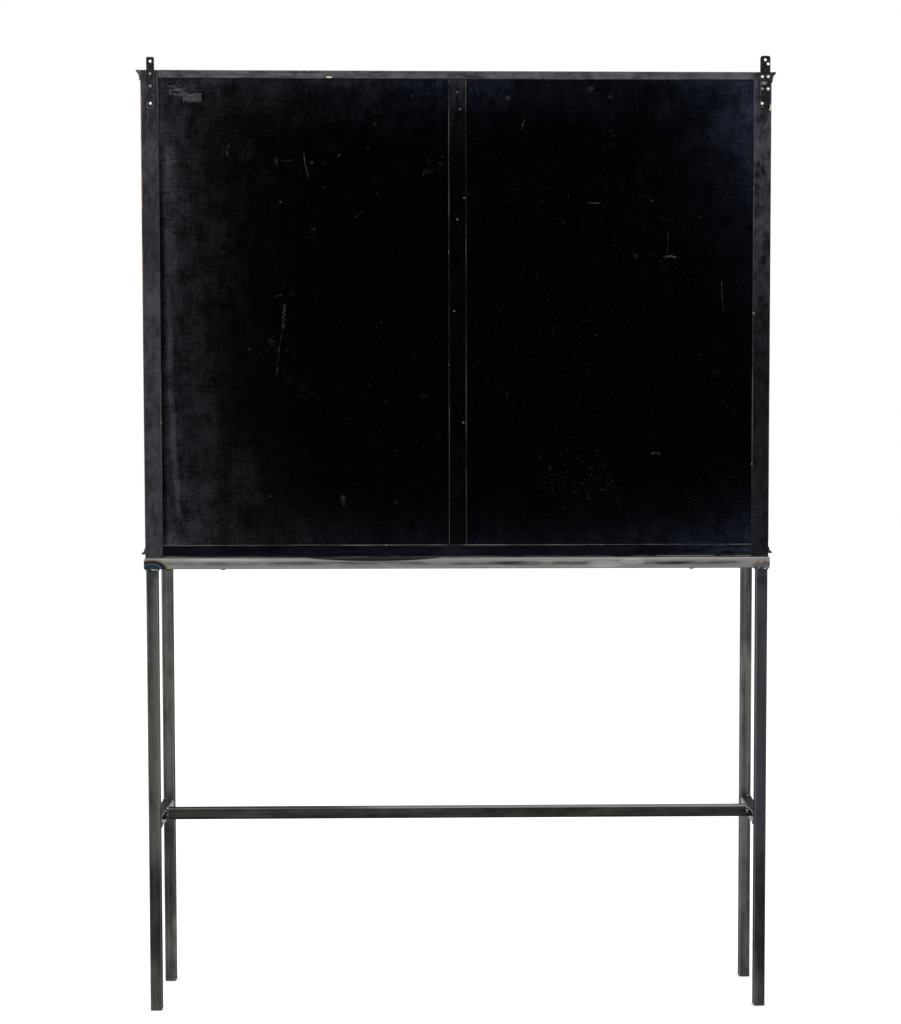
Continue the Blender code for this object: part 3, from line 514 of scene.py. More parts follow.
def bottom_rail_marks(finish, colour, brush):
    """A broken pale line along the upper edge of the back's bottom rail, a painted highlight; dust and
    painted sheen; bare brown wood along its foot.
    """
    break_up = finish.noise(25, 4, 0.6)
    # A painted highlight along the rail's upper edge, broken up.
    upper = finish.step(finish.z, 0.8212, 0.8220) * finish.step(break_up, 0.42, 0.60)
    colour = finish.lay(0.6 * upper, colour, RUBBED_PAINT_AND_HIGHLIGHT)
    dusty = finish.step(finish.noise((24, 70, 110), 7, 0.72), 0.34, 0.70)
    near_muntin = finish.fade(abs(finish.x + 0.005), 0.03)
    share = 0.06 + 0.12 * near_muntin + 0.25 * finish.step(finish.x, -0.30, -0.52)
    colour = finish.lay(dusty * share, colour, BLUE_DUST_AND_SHEEN)
    foot = finish.step(finish.z, 0.8036, 0.8022) * finish.step(abs(finish.x - 0.08), 0.36, 0.46)
    return finish.lay(0.8 * foot * finish.step(break_up, 0.3, 0.5), colour, KHAKI_WOOD)


def front_marks(finish, colour, brush):
    """Paint rubbed by hands round the two knobs, and fine scratches."""
    handled = finish.noise(45, 5, 0.68)
    for side, _ in SIDES:
        low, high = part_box(f"{side}_knob")
        knob = ((low[0] + high[0]) / 2, (low[2] + high[2]) / 2)
        halo = finish.smudge(knob, (0.034, 0.070)) * finish.step(handled, 0.38, 0.66)
        colour = finish.lay(0.45 * halo, colour, SCUFFED_PAINT)
    return finish.lay(0.35 * fine_scratches(finish), colour, SCUFFED_PAINT)


# Colours round a weld, outwards: a rail's bands of teal, blue, dark brown and straw, and plain soot
BANDED_WELD = (
    (0.0, (0.028, 0.042, 0.048, 1)), (0.20, (0.060, 0.088, 0.105, 1)), (0.30, (0.018, 0.034, 0.048, 1)),
    (0.40, (0.105, 0.160, 0.215, 1)), (0.50, (0.024, 0.042, 0.085, 1)), (0.58, (0.026, 0.019, 0.018, 1)),
    (0.645, (0.140, 0.092, 0.042, 1)), (0.73, (0.380, 0.325, 0.225, 1)), (1.0, (0.450, 0.435, 0.400, 1)))
SOOTY_WELD = (
    (0.0, (0.024, 0.034, 0.038, 1)), (0.35, (0.034, 0.044, 0.050, 1)), (0.65, (0.050, 0.050, 0.048, 1)),
    (1.0, (0.080, 0.079, 0.074, 1)))


def heat_tint(finish, colour, welds, stretch, stops, cloud, strength):
    """Tints steel round its welds by bands of colour, fainter and mottled on the left, with spatter."""
    heat = finish.distance_to(welds[0], stretch)
    for weld in welds[1:]:
        heat = finish.smaller(heat, finish.distance_to(weld, stretch))
    left_reach, right_reach = HEATED_REACH
    on_right = finish.step(finish.x, -0.1, 0.1)
    mottle = 1.5 * (1 - on_right) * (finish.noise(190, 4, 0.7) - 0.5)
    heat = heat / (left_reach + (right_reach - left_reach) * on_right)
    heat = heat + (0.9 - 0.6 * on_right) * (cloud - 0.5) + mottle
    tint = finish.node("ValToRGB", {"stops": stops}, {0: heat / HEAT_FADE})
    share = strength * (0.62 + 0.38 * on_right)
    colour = finish.lay(share * finish.step(heat, HEAT_FADE, 1.0), colour, tint)
    spatter = finish.specks(0.0045, 0.0013) * finish.step(heat, 1.5, 0.8)
    return finish.lay(0.6 * spatter, colour, WELD_CREST), spatter


def bare_steel(piece, seed, cover, welds=(), stretch=(1, 1, 1), stops=SOOTY_WELD, tint=1.0, light=1.0,
               marks=None, polished=0.0):
    """Square tube as it came from the mill, mottled with dark scale and tinted by heat beside the welds. A
    side stretcher may be polished on its inner face.
    """
    material, finish, shader = new_finish(f"{piece}_steel", seed, metallic=1.0)
    shader.inputs["Specular Tint"].default_value = GRAZING_STEEL
    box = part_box(piece)
    run = longest_side(box)
    streaks = finish.noise(along_run(run, 3, 150), 4, 0.6)
    cloud = finish.noise(along_run(run, 8, 40), 4, 0.6)
    mottle = finish.noise(along_run(run, 16, 50), 5, 0.65)
    lines = finish.noise(along_run(run, 4, 420), 2)
    grit = finish.noise(420, 2)
    warmth = finish.step(finish.noise(along_run(run, 5, 30), 3), 0.40, 0.60)
    patchy = finish.step(0.45 * mottle + 0.25 * streaks + 0.30 * lines, 0.38, 0.62)
    # light gives a lighter or darker copy of the scale, which paints light and shade into it.
    dark = finish.lay(warmth, shaded(COOL_SCALE, 0.5 * light), shaded(WARM_SCALE, 0.5 * light))
    pale = finish.lay(warmth, shaded(COOL_SCALE, 1.6 * light), shaded(WARM_SCALE, 1.6 * light))
    scaled = finish.lay(patchy, dark, pale)
    scale = finish.step(0.5 * streaks + 0.5 * cloud + (cover - 0.5), 0.36, 0.64)
    colour = finish.lay(scale, finish.lay(patchy, CLEAN_STEEL, shaded(CLEAN_STEEL, 0.8)), scaled)
    scuffed = finish.step(finish.noise(along_run(run, 20, 60), 4, 0.6), 0.66, 0.76)
    colour = finish.lay(0.45 * scuffed, colour, SCUFFED_SCALE_AND_GLEAM)
    if marks:
        colour = marks(finish, colour, cloud)
    worn_corner = finish.step(finish.edge_gap(box) + 0.002 * cloud, 0.0030, 0.0014)
    colour = finish.lay(0.35 * worn_corner, colour, CLEAN_STEEL)
    height = streaks + 0.2 * grit + 0.4 * scale
    if welds:
        colour, spatter = heat_tint(finish, colour, welds, stretch, stops, cloud, tint)
        height = height + 2.5 * spatter
    rough = 0.30 + 0.12 * scale + 0.12 * (streaks - 0.5) + 0.08 * grit
    if polished:
        polish = polished * finish.step(abs(finish.x), *POLISHED_X)
        colour = finish.lay(polish, colour, ZINC_AND_HIGHLIGHT)
        rough = rough * (1 - polish)
        height = height * (1 - polish)
    coat(finish, shader, colour, rough, height, STEEL_RELIEF)
    return material


def rear_leg_marks(finish, colour, cloud):
    """A dark patch below a rear leg's weld and darker low down; blue scale left, a painted pale gleam right.
    """
    cool = finish.step(finish.x, 0.1, -0.1) * finish.step(finish.z, 0.15, 0.35)
    colour = finish.lay(0.6 * cool, colour, BLUE_SCALE)
    # A painted gleam along the inner side of the right rear leg.
    painted_gleam = finish.step(finish.x, 0.1, 0.3) * finish.step(finish.x, 0.538, 0.525)
    colour = finish.lay(0.5 * painted_gleam * finish.step(finish.z, 0.22, 0.30), colour, SCUFFED_SCALE_AND_GLEAM)
    patch = finish.step(abs(finish.z - 0.757), 0.012, 0.003) * finish.step(cloud, 0.35, 0.6)
    dark = finish.step(finish.z + 0.10 * (cloud - 0.5), 0.34, 0.19) * finish.step(finish.z, 0.03, 0.12)
    return finish.lay(finish.larger(0.5 * patch, 0.6 * dark), colour, SOOT_AND_SHADE)


def front_leg_marks(finish, colour, cloud):
    """Darker low on the front legs, and pale scuffs."""
    on_right = finish.step(finish.x, -0.1, 0.1)
    level = finish.z + 0.10 * (cloud - 0.5)
    right_dark = on_right * finish.step(level, 0.36, 0.27) * finish.step(level, 0.06, 0.15)
    left_dark = 0.7 * (1 - on_right) * finish.step(level, 0.24, 0.12)
    colour = finish.lay(0.5 * finish.larger(right_dark, left_dark), colour, SOOT_AND_SHADE)
    for place, reach in (((-0.54, 0.565), (0.005, 0.022)), ((-0.531, 0.27), (0.006, 0.02)),
                         ((-0.528, 0.165), (0.009, 0.007)), ((0.526, 0.545), (0.004, 0.022)),
                         ((0.525, 0.105), (0.003, 0.022))):
        scuff = finish.smudge(place, reach) * finish.step(cloud, 0.3, 0.6)
        colour = finish.lay(0.8 * scuff, colour, SCUFFED_SCALE_AND_GLEAM)
    return colour


def long_stretcher_marks(finish, colour, cloud):
    """A painted highlight on top of the long stretcher, except near its right end, and darker along its
    foot.
    """
    drift = finish.noise((9, 60, 60), 3, 0.6)
    # A painted highlight along the top.
    bright = finish.step(finish.z, 0.3385, 0.3402) * finish.step(finish.x + 0.25 * (drift - 0.5), 0.26, 0.10)
    colour = finish.lay(0.30 * bright, colour, ZINC_AND_HIGHLIGHT)
    foot = finish.step(finish.z + 0.004 * (drift - 0.5), 0.3275, 0.3225)
    return finish.lay(0.45 * foot, colour, SOOT_AND_SHADE)


def rear_rail_marks(finish, colour, cloud):
    """Rear rail: a soft dark band, dark and pale patches, painted shade under the case, painted highlights
    up top.
    """
    drift = finish.noise(7, 3, 0.6)
    streak = finish.noise((9, 300, 300), 3, 0.6)
    band_z = 0.7898 + 0.006 * (drift - 0.5)
    band = finish.step(abs(finish.z - band_z), 0.0052, 0.0006)
    broken = finish.step(drift + 0.6 * (streak - 0.5), 0.38, 0.58)
    # A painted highlight over the rail's upper half.
    colour = finish.lay(0.25 * finish.step(finish.z, 0.7890, 0.7970), colour, ZINC_AND_HIGHLIGHT)
    colour = finish.lay(0.65 * band * broken, colour, SOOT_AND_SHADE)
    for place, reach in (((-0.105, 0.789), (0.045, 0.0045)), ((-0.372, 0.7895), (0.04, 0.004))):
        colour = finish.lay(0.7 * finish.smudge(place, reach) * finish.step(streak, 0.35, 0.6), colour, SOOT_AND_SHADE)
    for place, reach in (((-0.258, 0.788), (0.04, 0.008)), ((-0.305, 0.792), (0.03, 0.007)),
                         ((0.4, 0.796), (0.09, 0.004))):
        colour = finish.lay(0.6 * finish.smudge(place, reach) * finish.step(streak, 0.2, 0.6), colour, ZINC_AND_HIGHLIGHT)
    # A lens of painted shade under the case, at the rail's top.
    off_centre = (finish.x - 0.147) / 0.125
    depth = finish.larger(0.0062 * (1 - off_centre * off_centre), 0.0)
    lens = finish.step(finish.z + depth + 0.0014 * (streak - 0.5), 0.7988, 0.8004)
    colour = finish.lay(0.95 * lens * finish.step(depth, 0.0, 0.0015), colour, SOOT_AND_SHADE)
    # A painted highlight along the top at the left.
    bright = finish.step(finish.z, 0.7955, 0.7985) * finish.step(finish.x, 0.02, -0.06)
    return finish.lay(0.4 * bright, colour, ZINC_AND_HIGHLIGHT)


def dark_iron(piece, seed, tone, rubs=()):
    """Flat iron under thick lumpy black paint, rubbed to grey metal along its edges and in given places."""
    material, finish, shader = new_finish(f"{piece}_iron", seed, specular=0.3)
    lumps = finish.noise(260, 4, 0.6)
    cloud = finish.noise(60, 3)
    edge = finish.edge_gap(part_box(piece))
    rubbed = finish.step(edge + 0.003 * lumps, 0.0030, 0.0014) * finish.step(cloud, 0.35, 0.6)
    bare = finish.step(lumps + 0.5 * cloud, 0.86, 0.98)
    colour = finish.lay(finish.step(cloud, 0.3, 0.7), IRON_BLACK, tone)
    worn = finish.larger(0.4 * rubbed, 0.7 * bare)
    for place, reach in rubs:
        worn = finish.larger(worn, finish.smudge(place, reach) * finish.step(lumps, 0.35, 0.6))
    colour = finish.lay(worn, colour, RUBBED_IRON)
    coat(finish, shader, colour, 0.12 + 0.20 * lumps, lumps, IRON_RELIEF)
    return material


def aged_brass(name, seed):
    """Brass gone brown, brighter where it is handled."""
    material, finish, shader = new_finish(name, seed, metallic=1.0)
    cloud = finish.noise(90, 4, 0.6)
    grit = finish.noise(700, 2)
    tarnish = finish.step(cloud + 0.3 * grit, 0.52, 0.82)
    colour = finish.lay(tarnish, BRASS, BRASS_PATINA)
    rough = 0.26 + 0.25 * tarnish + 0.08 * grit
    coat(finish, shader, colour, rough, 0.5 * cloud + 0.3 * grit, BRASS_RELIEF)
    return material


def plated_zinc(name, seed, bright, metallic):
    """Zinc-plated screw heads: dulled in places, and white with oxide where they aren't all metal."""
    material, finish, shader = new_finish(name, seed, metallic=metallic)
    cloud = finish.noise(500, 3)
    colour = finish.lay(finish.step(cloud, 0.45, 0.7), bright, shaded(bright, 0.6))
    finish.feed(shader.inputs["Base Color"], colour)
    finish.feed(shader.inputs["Roughness"], 0.30 + 0.3 * cloud)
    return material


def weld_metal(name, seed):
    """Rippled weld metal, sooty blue-black with silvery spots."""
    material, finish, shader = new_finish(name, seed, metallic=1.0)
    cloud = finish.noise(190, 4, 0.6)
    grit = finish.noise(900, 2)
    sooty = finish.step(cloud + 0.3 * grit, 0.50, 0.68)
    colour = finish.lay(sooty, WELD_CREST, WELD_SOOT)
    coat(finish, shader, colour, 0.16 + 0.35 * sooty, cloud + 0.4 * grit, WELD_RELIEF)
    return material


def old_glass(name, seed):
    """A thin pane that shows what is behind it, with a clear reflection and a little grime."""
    material, finish, shader = new_finish(name, seed)
    smear = finish.noise((5, 5, 16), 5, 0.6)
    wave = finish.noise((6, 6, 9), 1)
    clear = finish.node("BsdfTransparent", sockets={"Color": GLASS_TINT})
    shader.inputs["Base Color"].default_value = GLASS_GRIME
    finish.feed(shader.inputs["Roughness"], 0.03 + 0.12 * finish.step(smear, 0.5, 0.8))
    ripple = finish.bump(wave, GLASS_RELIEF)
    finish.feed(shader.inputs["Normal"], ripple)
    mirror = finish.node("LayerWeight", sockets={"Blend": 0.12, "Normal": ripple}, out="Fresnel")
    pane = finish.node("MixShader", sockets={0: 0.05 + 0.9 * mirror + 0.05 * smear, 1: clear,
                                             2: Shade(finish, shader.outputs[0])})
    output = material.node_tree.nodes["Material Output"]
    finish.feed(output.inputs["Surface"], pane)
    return material


def dress(piece, material):
    """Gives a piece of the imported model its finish."""
    nodes[piece].data.materials.clear()
    nodes[piece].data.materials.append(material)


# Paint on the boards: colour, haze, rubbed edges, roughness, sheen and, on the back, how much duller inside
# The back's right stile is a lit copy of the stile paint and the left one a shaded copy, painted light and
# shade; the top rail's faded paint is made paler by painted light.
PAINTED_LIT_STILE = ((0.022, 0.022, 0.027, 1), 0.10, 0.30, 0.42, 0.16, 0.10)
PAINTED_SHADED_STILE = ((0.003, 0.003, 0.0042, 1), 0.02, 0.35, 0.24, 0.12, 0.25)
FADED_AND_PAINTED_LIT = ((0.066, 0.069, 0.081, 1), 0.15, 0.35, 0.45, 0.20)
DARK = ((0.0005, 0.0005, 0.0009, 1), 0.006, 0.40, 0.12, 0.18, 0.35)
PANEL = ((0.0002, 0.0002, 0.0004, 1), 0.002, 0.30, 0.09, 0.18, 0.35)
SATIN = ((0.0095, 0.0093, 0.0103, 1), 0.10, 0.80, 0.36, 0.35)
DUSTY = ((0.026, 0.0265, 0.029, 1), 0.30, 0.70, 0.50, 0.20)
INSIDE = (INSIDE_BLACK, 0.20, 0.50, 0.50, 0.20)
BOARDS = {
    "back_stile_left": PAINTED_SHADED_STILE, "back_stile_right": PAINTED_LIT_STILE, "back_top_rail": FADED_AND_PAINTED_LIT,
    "back_bottom_rail": DARK, "back_muntin": DARK, "back_panel_left": PANEL, "back_panel_right": PANEL,
    "side_board_left": SATIN, "side_board_right": SATIN, "top_board": DUSTY, "bottom_board": INSIDE,
    "shelf_lower": INSIDE, "shelf_upper": INSIDE, "face_stile_left": SATIN, "face_stile_right": SATIN,
    "centre_post": SATIN, "cornice_front": SATIN, "cornice_left": SATIN, "cornice_right": SATIN,
    "base_moulding_front": SATIN, "base_moulding_left": SATIN, "base_moulding_right": SATIN,
}
for side, _ in SIDES:
    for part in ("hinge_stile", "meeting_stile", "top_rail", "bottom_rail"):
        BOARDS[f"{side}_door_{part}"] = SATIN

MARKS = {
    "back_panel": panel_marks, "back_stile": back_stile_marks, "back_muntin": muntin_marks,
    "back_top_rail": top_rail_marks, "back_bottom_rail": bottom_rail_marks,
}
for seed, (piece, paint) in enumerate(BOARDS.items()):
    kind = piece.removesuffix("_left").removesuffix("_right")
    marks = front_marks if paint is SATIN else MARKS.get(kind)
    dress(piece, black_paint(piece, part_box(piece), seed, *paint, marks=marks))

# Stand: each tube's welds are where it meets the next
RAIL_HEAT = (0.60, 0.3, 1)
# Each leg's scale is made a lighter or darker copy by painted light and shade.
PAINTED_LEG_LIGHT = {("front", "left"): 2.15, ("front", "right"): 1.6,
             ("rear", "left"): 0.95, ("rear", "right"): 1.15}
for row, y, leg_marks, rail_marks in (("front", FRONT_Y, front_leg_marks, None),
                                      ("rear", REAR_Y, rear_leg_marks, rear_rail_marks)):
    corners = [(sign * LEG_X, y, RAIL_FOOT_Z) for _, sign in SIDES]
    rail = f"stand_rail_{row}"
    dress(rail, bare_steel(rail, seed=41 + y, cover=0.22, welds=corners, stretch=RAIL_HEAT,
                           stops=BANDED_WELD, marks=rail_marks))
    for (side, sign), corner in zip(SIDES, corners):
        leg = f"stand_leg_{row}_{side}"
        dress(leg, bare_steel(leg, seed=43 + sign + y, cover=0.85, welds=[corner], tint=0.8,
                              light=PAINTED_LEG_LIGHT[row, side], marks=leg_marks))
for side, sign in SIDES:
    for part, z, cover, polished in ((f"stand_rail_{side}", RAIL_Z, 0.5, 0.0),
                                     (f"side_stretcher_{side}", STRETCHER_Z, 0.75, 0.85)):
        ends = [(sign * LEG_X, y, z) for y in (FRONT_Y, REAR_Y)]
        dress(part, bare_steel(part, seed=47 + sign + z, cover=cover, welds=ends, tint=0.3,
                               polished=polished))
# The long stretcher's scale is made a darker copy, painted shade.
dress("long_stretcher", bare_steel("long_stretcher", seed=53, cover=0.85, light=0.65,
                                   marks=long_stretcher_marks))

# Irons, hinges, latches and panes
dress("hanging_strap", dark_iron("hanging_strap", seed=60, tone=IRON_GREY))
plate_rub = ((-0.531, 1.621), (0.007, 0.004))
dress("hanging_plate", dark_iron("hanging_plate", seed=61, tone=shaded(IRON_GREY, 0.4), rubs=[plate_rub]))
brass = aged_brass("hinge_and_knob_brass", seed=64)
glass = old_glass("window_pane", seed=66)
for piece in nodes:
    if piece.endswith(("leaf", "knob", "finger")):
        dress(piece, brass)
    if piece.endswith("glass"):
        dress(piece, glass)


# Small pieces

def add_piece(name, bm, material, body="cabinet"):
    """Makes a finished piece that moves with a body."""
    bmesh.ops.recalc_face_normals(bm, faces=bm.faces)
    mesh = bpy.data.meshes.new(name)
    bm.to_mesh(mesh)
    bm.free()
    mesh.shade_smooth()
    mesh.set_sharp_from_angle(angle=SHARP_ANGLE)
    mesh.materials.append(material)
    piece = bpy.data.objects.new(name, mesh)
    bpy.context.scene.collection.objects.link(piece)
    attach(piece, body)


def raise_faces(bm, faces, rise):
    """Extrudes faces along z."""
    made = bmesh.ops.extrude_face_region(bm, geom=faces)["geom"]
    verts = [part for part in made if isinstance(part, bmesh.types.BMVert)]
    bmesh.ops.translate(bm, verts=verts, vec=(0, 0, rise))


def fixing_head(radius, height, cuts):
    """Builds a round head on z = 0 with a rounded rim and none, one or two crossing cuts in its top."""
    bm = bmesh.new()
    bmesh.ops.create_cone(bm, cap_ends=True, segments=20, radius1=radius, radius2=0.9 * radius, depth=height,
                          matrix=Matrix.Translation((0, 0, height / 2)))
    rim = [edge for edge in bm.edges if all(vert.co.z > 0.9 * height for vert in edge.verts)]
    bmesh.ops.bevel(bm, geom=rim, offset=0.45 * height, segments=3, profile=0.5, affect="EDGES", material=-1)
    half = CUT_SHARE * radius
    across = [Vector((0, 1, 0)), Vector((1, 0, 0))][:cuts]
    for direction in across:
        for place in (-half, half):
            top = [face for face in bm.faces if all(vert.co.z > 0.99 * height for vert in face.verts)]
            around = {part for face in top for part in (*face.edges, *face.verts)}
            bmesh.ops.bisect_plane(bm, geom=[*top, *around], dist=1e-7, plane_co=place * direction,
                                   plane_no=direction)
    sunk = [face for face in bm.faces if all(vert.co.z > 0.99 * height for vert in face.verts)
            and any(abs(face.calc_center_median().dot(direction)) < half for direction in across)]
    if sunk:
        raise_faces(bm, sunk, -CUT_DEPTH_SHARE * height)
    return bm


def add_fixings(name, places, facing, radius, height, cuts, material, body="cabinet"):
    """Adds heads of one kind as one piece, each at a place, standing up along a facing direction."""
    joined = bmesh.new()
    turn = Vector(facing).to_track_quat("Z", "Y").to_matrix().to_4x4()
    dice = random.Random(name)
    for place in places:
        head = fixing_head(radius, height, cuts)
        head.transform(Matrix.Translation(place) @ turn @ Matrix.Rotation(dice.uniform(0, math.pi), 4, "Z"))
        mesh = bpy.data.meshes.new(name)
        head.to_mesh(mesh)
        head.free()
        joined.from_mesh(mesh)
        bpy.data.meshes.remove(mesh)
    add_piece(name, joined, material, body)


def tube_outline(centre, across, up, half):
    """Gives points round a square tube, down one side first, so that the last side is the top one."""
    centre, out, along = Vector(centre), Vector(across), -Vector(up)
    straight = half - BEAD_CORNER
    points = []
    for _ in range(4):
        for step in range(BEAD_STEPS):
            points.append(centre + half * out + straight * (2 * step / BEAD_STEPS - 1) * along)
        bend = centre + straight * (out + along)
        for step in range(CORNER_STEPS):
            angle = step / CORNER_STEPS * math.pi / 2
            points.append(bend + BEAD_CORNER * (math.cos(angle) * out + math.sin(angle) * along))
        out, along = along, -out
    return points


def add_weld_bead(name, points, axis, closed, material):
    """Sweeps a rippled bead of weld metal along points that lie in a plane square to an axis."""
    bm = bmesh.new()
    dice = random.Random(name)
    loops = []
    count = len(points)
    for index, point in enumerate(points):
        before = points[index - 1] if closed or index else point
        after = points[(index + 1) % count] if closed or index < count - 1 else point
        along = (after - before).normalized()
        ripple = 0.72 + 0.30 * (index % BEAD_RIPPLE) / (BEAD_RIPPLE - 1)
        radius = BEAD_RADIUS * ripple * dice.uniform(0.75, 1.2)
        if not closed:
            radius *= min(1.0, 0.3 + 0.25 * min(index, count - 1 - index))
        wander = 0.25 * BEAD_RADIUS
        nudge = Vector([dice.uniform(-wander, wander) for _ in range(3)])
        turn = Matrix((along.cross(axis), axis, along)).transposed().to_4x4()
        circle = bmesh.ops.create_circle(bm, segments=8, radius=radius,
                                         matrix=Matrix.Translation(point + nudge) @ turn)["verts"]
        loops.append(list({edge for vert in circle for edge in vert.link_edges}))
    pairs = list(zip(loops, loops[1:]))
    if closed:
        pairs.append((loops[-1], loops[0]))
    else:
        for end in (loops[0], loops[-1]):
            bmesh.ops.edgeloop_fill(bm, edges=end)
    for first, second in pairs:
        bmesh.ops.bridge_loops(bm, edges=first + second)
    add_piece(name, bm, material)


def add_glazing_bead(side, seed):
    """Frames a pane from behind with a quarter-round bead, mitred at its corners."""
    low, high = (Vector(corner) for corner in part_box(f"{side}_door_glass"))
    middle = (low + high) / 2
    seat_y = high.y + BEAD_FIT
    half_x = (high.x - low.x) / 2 - BEAD_FIT
    half_z = (high.z - low.z) / 2 - BEAD_FIT
    bm = bmesh.new()
    bmesh.ops.create_grid(bm, x_segments=1, y_segments=1, size=1.0)
    bmesh.ops.scale(bm, verts=bm.verts, vec=(half_x, half_z, 1))
    pane = bm.faces[:]
    bmesh.ops.inset_region(bm, faces=pane, thickness=GLAZING_WIDTH, use_boundary=True, use_even_offset=True)
    bmesh.ops.delete(bm, geom=pane, context="FACES")
    raise_faces(bm, bm.faces[:], GLAZING_WIDTH)
    inner_x = half_x - 0.5 * GLAZING_WIDTH
    inner_z = half_z - 0.5 * GLAZING_WIDTH
    rounded = [edge for edge in bm.edges if all(
        vert.co.z > 0.5 * GLAZING_WIDTH and abs(vert.co.x) < inner_x and abs(vert.co.y) < inner_z
        for vert in edge.verts)]
    bmesh.ops.bevel(bm, geom=rounded, offset=0.85 * GLAZING_WIDTH, segments=6, profile=0.5, affect="EDGES",
                    material=-1)
    bm.transform(Matrix.Translation((middle.x, seat_y, middle.z)) @ Matrix.Rotation(-math.pi / 2, 4, "X"))
    box = (tuple(low), tuple(high))
    paint = black_paint(f"{side}_glazing_bead", box, seed, *SATIN)
    add_piece(f"{side}_glazing_bead", bm, paint, f"{side}_door")


# Welds, which go all round a tube except where a side rail meets the case
weld = weld_metal("weld_bead_metal", seed=80)
UP = Vector((0, 0, 1))
SIDEWAYS = Vector((1, 0, 0))
DEEP = Vector((0, 1, 0))
for side, sign in SIDES:
    for row, y in (("front", FRONT_Y), ("rear", REAR_Y)):
        leg_low, leg_high = (Vector(corner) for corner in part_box(f"stand_leg_{row}_{side}"))
        half = (leg_high.x - leg_low.x) / 2 - BEAD_SINK
        outline = tube_outline((sign * LEG_X, y, RAIL_FOOT_Z - 0.4 * BEAD_RADIUS), SIDEWAYS, DEEP, half)
        add_weld_bead(f"weld_leg_{row}_{side}", outline, UP, True, weld)
    for part in ("stand_rail", "side_stretcher"):
        low, high = (Vector(corner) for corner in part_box(f"{part}_{side}"))
        for row, y in (("front", low.y), ("rear", high.y)):
            outline = tube_outline((sign * LEG_X, y, (low.z + high.z) / 2), SIDEWAYS, UP, half)
            closed = part == "side_stretcher"
            if not closed:
                outline = outline[CORNER_STEPS:-BEAD_STEPS - 2 * CORNER_STEPS]
            add_weld_bead(f"weld_{part}_{row}_{side}", outline, DEEP, closed, weld)
    low, high = (Vector(corner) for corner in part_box("long_stretcher"))
    end_x = high.x if sign > 0 else low.x
    outline = tube_outline((end_x, (low.y + high.y) / 2, (low.z + high.z) / 2), DEEP, UP, half)
    add_weld_bead(f"weld_long_stretcher_{side}", outline, SIDEWAYS, True, weld)

# Screws and nails, those in the irons by their (across, drop) places from the middle of the iron's top
bright_screws = plated_zinc("bright_screw_zinc", seed=82, bright=ZINC_AND_HIGHLIGHT, metallic=0.3)
dull_screws = plated_zinc("dull_screw_zinc", seed=83, bright=DULL_ZINC, metallic=0.8)
dark_nails = plated_zinc("dark_nail_iron", seed=84, bright=shaded(DULL_ZINC, 0.4), metallic=0.6)
IRON_SCREWS = (
    ("strap_upper_screws", "hanging_strap", ((0.0, 0.0284), (0.0, 0.0495)), SLOTTED, dull_screws),
    ("strap_low_screw", "hanging_strap", ((0.0, 0.0788),), SLOTTED, bright_screws),
    ("plate_screws", "hanging_plate", ((PLATE_SIDE, 0.0357), (-PLATE_SIDE, 0.0357), (-PLATE_SIDE, 0.0566),
                                       (PLATE_SIDE, 0.0815)), SLOTTED, bright_screws),
    ("plate_cross_screw", "hanging_plate", ((PLATE_SIDE, 0.0566),), CROSSED, dull_screws),
)
for name, iron, places, cuts, zinc in IRON_SCREWS:
    low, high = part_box(iron)
    seats = [((low[0] + high[0]) / 2 + across, high[1] - IRON_SCREW_HEIGHT, high[2] - drop)
             for across, drop in places]
    add_fixings(name, seats, DEEP, IRON_SCREW_RADIUS, IRON_SCREW_HEIGHT, cuts, zinc)

MUNTIN_NAILS = ((0.0, 1.604), (-0.005, 1.575), (-0.012, 1.423), (0.0, 1.386), (0.006, 1.228),
                (-0.010, 1.035))
muntin_face_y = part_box("back_muntin")[1][1]
seats = [(x, muntin_face_y - HEAD_SEAT, z) for x, z in MUNTIN_NAILS]
add_fixings("muntin_nails", seats, DEEP, NAIL_RADIUS, NAIL_HEIGHT, PLAIN, dark_nails)

for row in ("front", "rear"):
    low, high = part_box(f"stand_rail_{row}")
    seats = [(sign * FIXING_SCREW_X, (low[1] + high[1]) / 2, low[2] + HEAD_SEAT) for _, sign in SIDES]
    add_fixings(f"{row}_rail_screws", seats, (0, 0, -1), RAIL_SCREW_RADIUS, RAIL_SCREW_HEIGHT, CROSSED,
                dull_screws)

for side, sign in SIDES:
    for level in ("lower", "upper"):
        for leaf, body, facing in (("frame_leaf", "cabinet", -sign), ("door_leaf", f"{side}_door", sign)):
            low, high = (Vector(corner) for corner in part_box(f"{side}_{level}_hinge_{leaf}"))
            middle_z = (low.z + high.z) / 2
            face_x = sign * (HINGE_FRAME_FACE_X if leaf == "frame_leaf" else HINGE_DOOR_FACE_X)
            seats = [(face_x, HINGE_SCREW_Y, middle_z + step * HINGE_SCREW_STEP) for step in (-1, 0, 1)]
            add_fixings(f"{side}_{level}_{leaf}_screws", seats, (facing, 0, 0), HINGE_SCREW_RADIUS,
                        HINGE_SCREW_HEIGHT, SLOTTED, brass, body)
    add_glazing_bead(side, seed=70 + sign)


# Studio

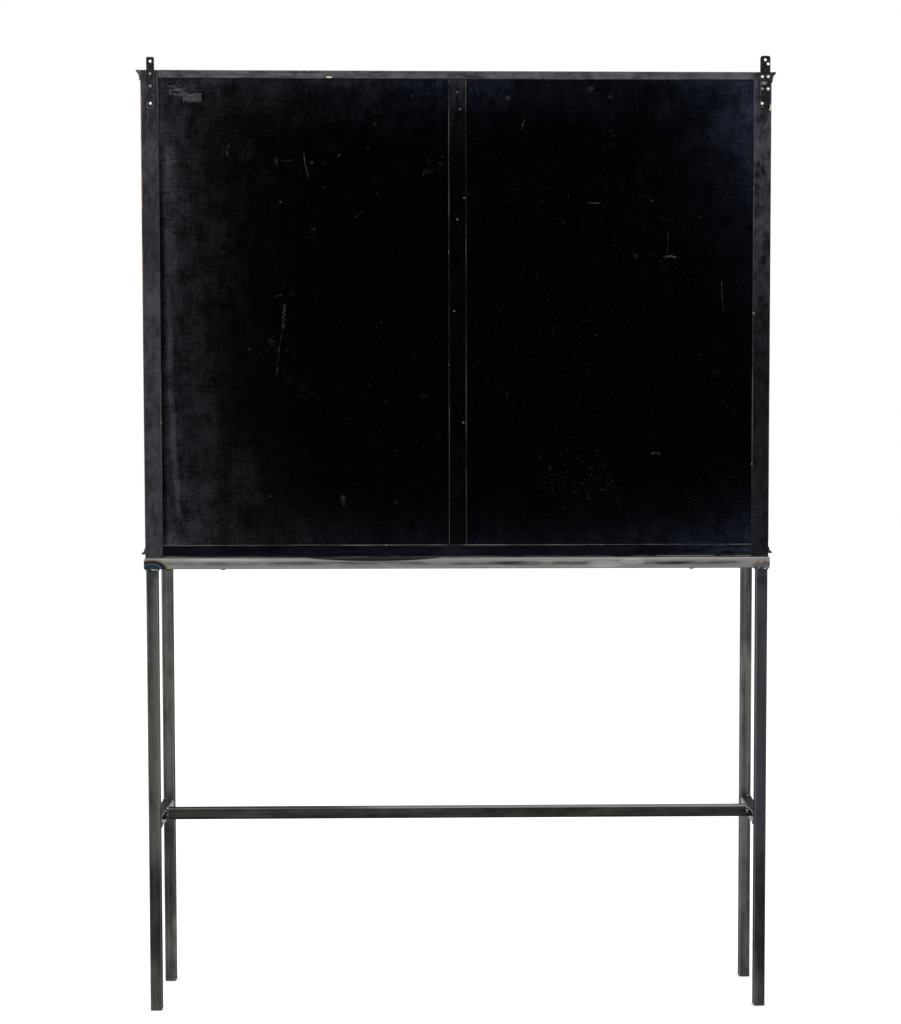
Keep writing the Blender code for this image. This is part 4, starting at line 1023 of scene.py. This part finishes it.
def build_studio():
    """Builds a pale floor, a bright ceiling and backdrop, and a dark room behind the camera.

    The camera itself sees a white world.
    """
    bm = bmesh.new()
    bmesh.ops.create_circle(bm, cap_ends=True, segments=96, radius=FLOOR_RADIUS,
                            matrix=Matrix.Translation((0, 0, -FLOOR_DROP)))
    mesh = bpy.data.meshes.new("floor")
    bm.to_mesh(mesh)
    bm.free()
    floor = bpy.data.objects.new("floor", mesh)
    floor.visible_glossy = False
    bpy.context.scene.collection.objects.link(floor)
    material, finish, shader = new_finish("pale_floor", 70, specular=0.1)
    cloud = finish.noise(1.3, 3)
    finish.feed(shader.inputs["Base Color"], finish.lay(cloud, FLOOR_DIM, FLOOR_PALE))
    shader.inputs["Roughness"].default_value = 0.8
    shader.inputs["Emission Color"].default_value = WHITE
    shader.inputs["Emission Strength"].default_value = FLOOR_GLOW
    mesh.materials.append(material)

    world = bpy.data.worlds.new("studio")
    world.use_nodes = True
    bpy.context.scene.world = world
    room = Finish(world.node_tree)
    direction = room.node("TexCoord", out="Generated")
    y, z = (room.node("SeparateXYZ", sockets={0: direction}, out=axis) for axis in "YZ")
    away = room.step(y, 0.3, -0.5)
    ceiling = room.step(z, 0.30, 0.75)
    low = room.step(z, -0.08, -0.16)
    underfoot = room.step(z, -0.30, -0.80)
    floor_glow = NEAR_FLOOR_GLOW + (FAR_FLOOR_GLOW - NEAR_FLOOR_GLOW) * away
    glow = (DARK_ROOM_GLOW + CEILING_GLOW * ceiling + BACKDROP_GLOW * away * (1 - low) * (1 - ceiling)
            + low * (1 - underfoot) * floor_glow + UNDERFOOT_GLOW * underfoot)
    seen = room.node("LightPath", out="Is Camera Ray")
    background = world.node_tree.nodes["Background"]
    background.inputs["Color"].default_value = WHITE
    room.feed(background.inputs["Strength"], glow * (1 - seen) + seen)


def add_softbox(name, place, target, size, power):
    """Adds a square soft light that faces a target."""
    light = bpy.data.lights.new(name, "AREA")
    light.size = size
    light.energy = power
    lamp = bpy.data.objects.new(name, light)
    lamp.location = place
    lamp.rotation_euler = (Vector(target) - Vector(place)).to_track_quat("-Z", "Y").to_euler()
    bpy.context.scene.collection.objects.link(lamp)


def add_camera():
    """Stands the camera where the photograph was taken from."""
    lens = bpy.data.cameras.new("camera")
    lens.lens = LENS
    lens.shift_x = SIDEWAYS_SHIFT
    camera = bpy.data.objects.new("camera", lens)
    turn = (Matrix.Rotation(math.pi - YAW, 4, "Z") @ Matrix.Rotation(math.pi / 2 - PITCH, 4, "X")
            @ Matrix.Rotation(-ROLL, 4, "Z"))
    camera.matrix_world = Matrix.Translation(EYE) @ turn
    bpy.context.scene.collection.objects.link(camera)
    bpy.context.scene.camera = camera


build_studio()
add_softbox("softbox_image_left", (3.2, 2.6, 2.4), CASE_MIDDLE, size=1.6, power=90)
add_softbox("softbox_image_right", (-3.4, 2.2, 2.6), CASE_MIDDLE, size=1.6, power=50)
add_camera()
bpy.context.scene.view_settings.view_transform = "Standard"
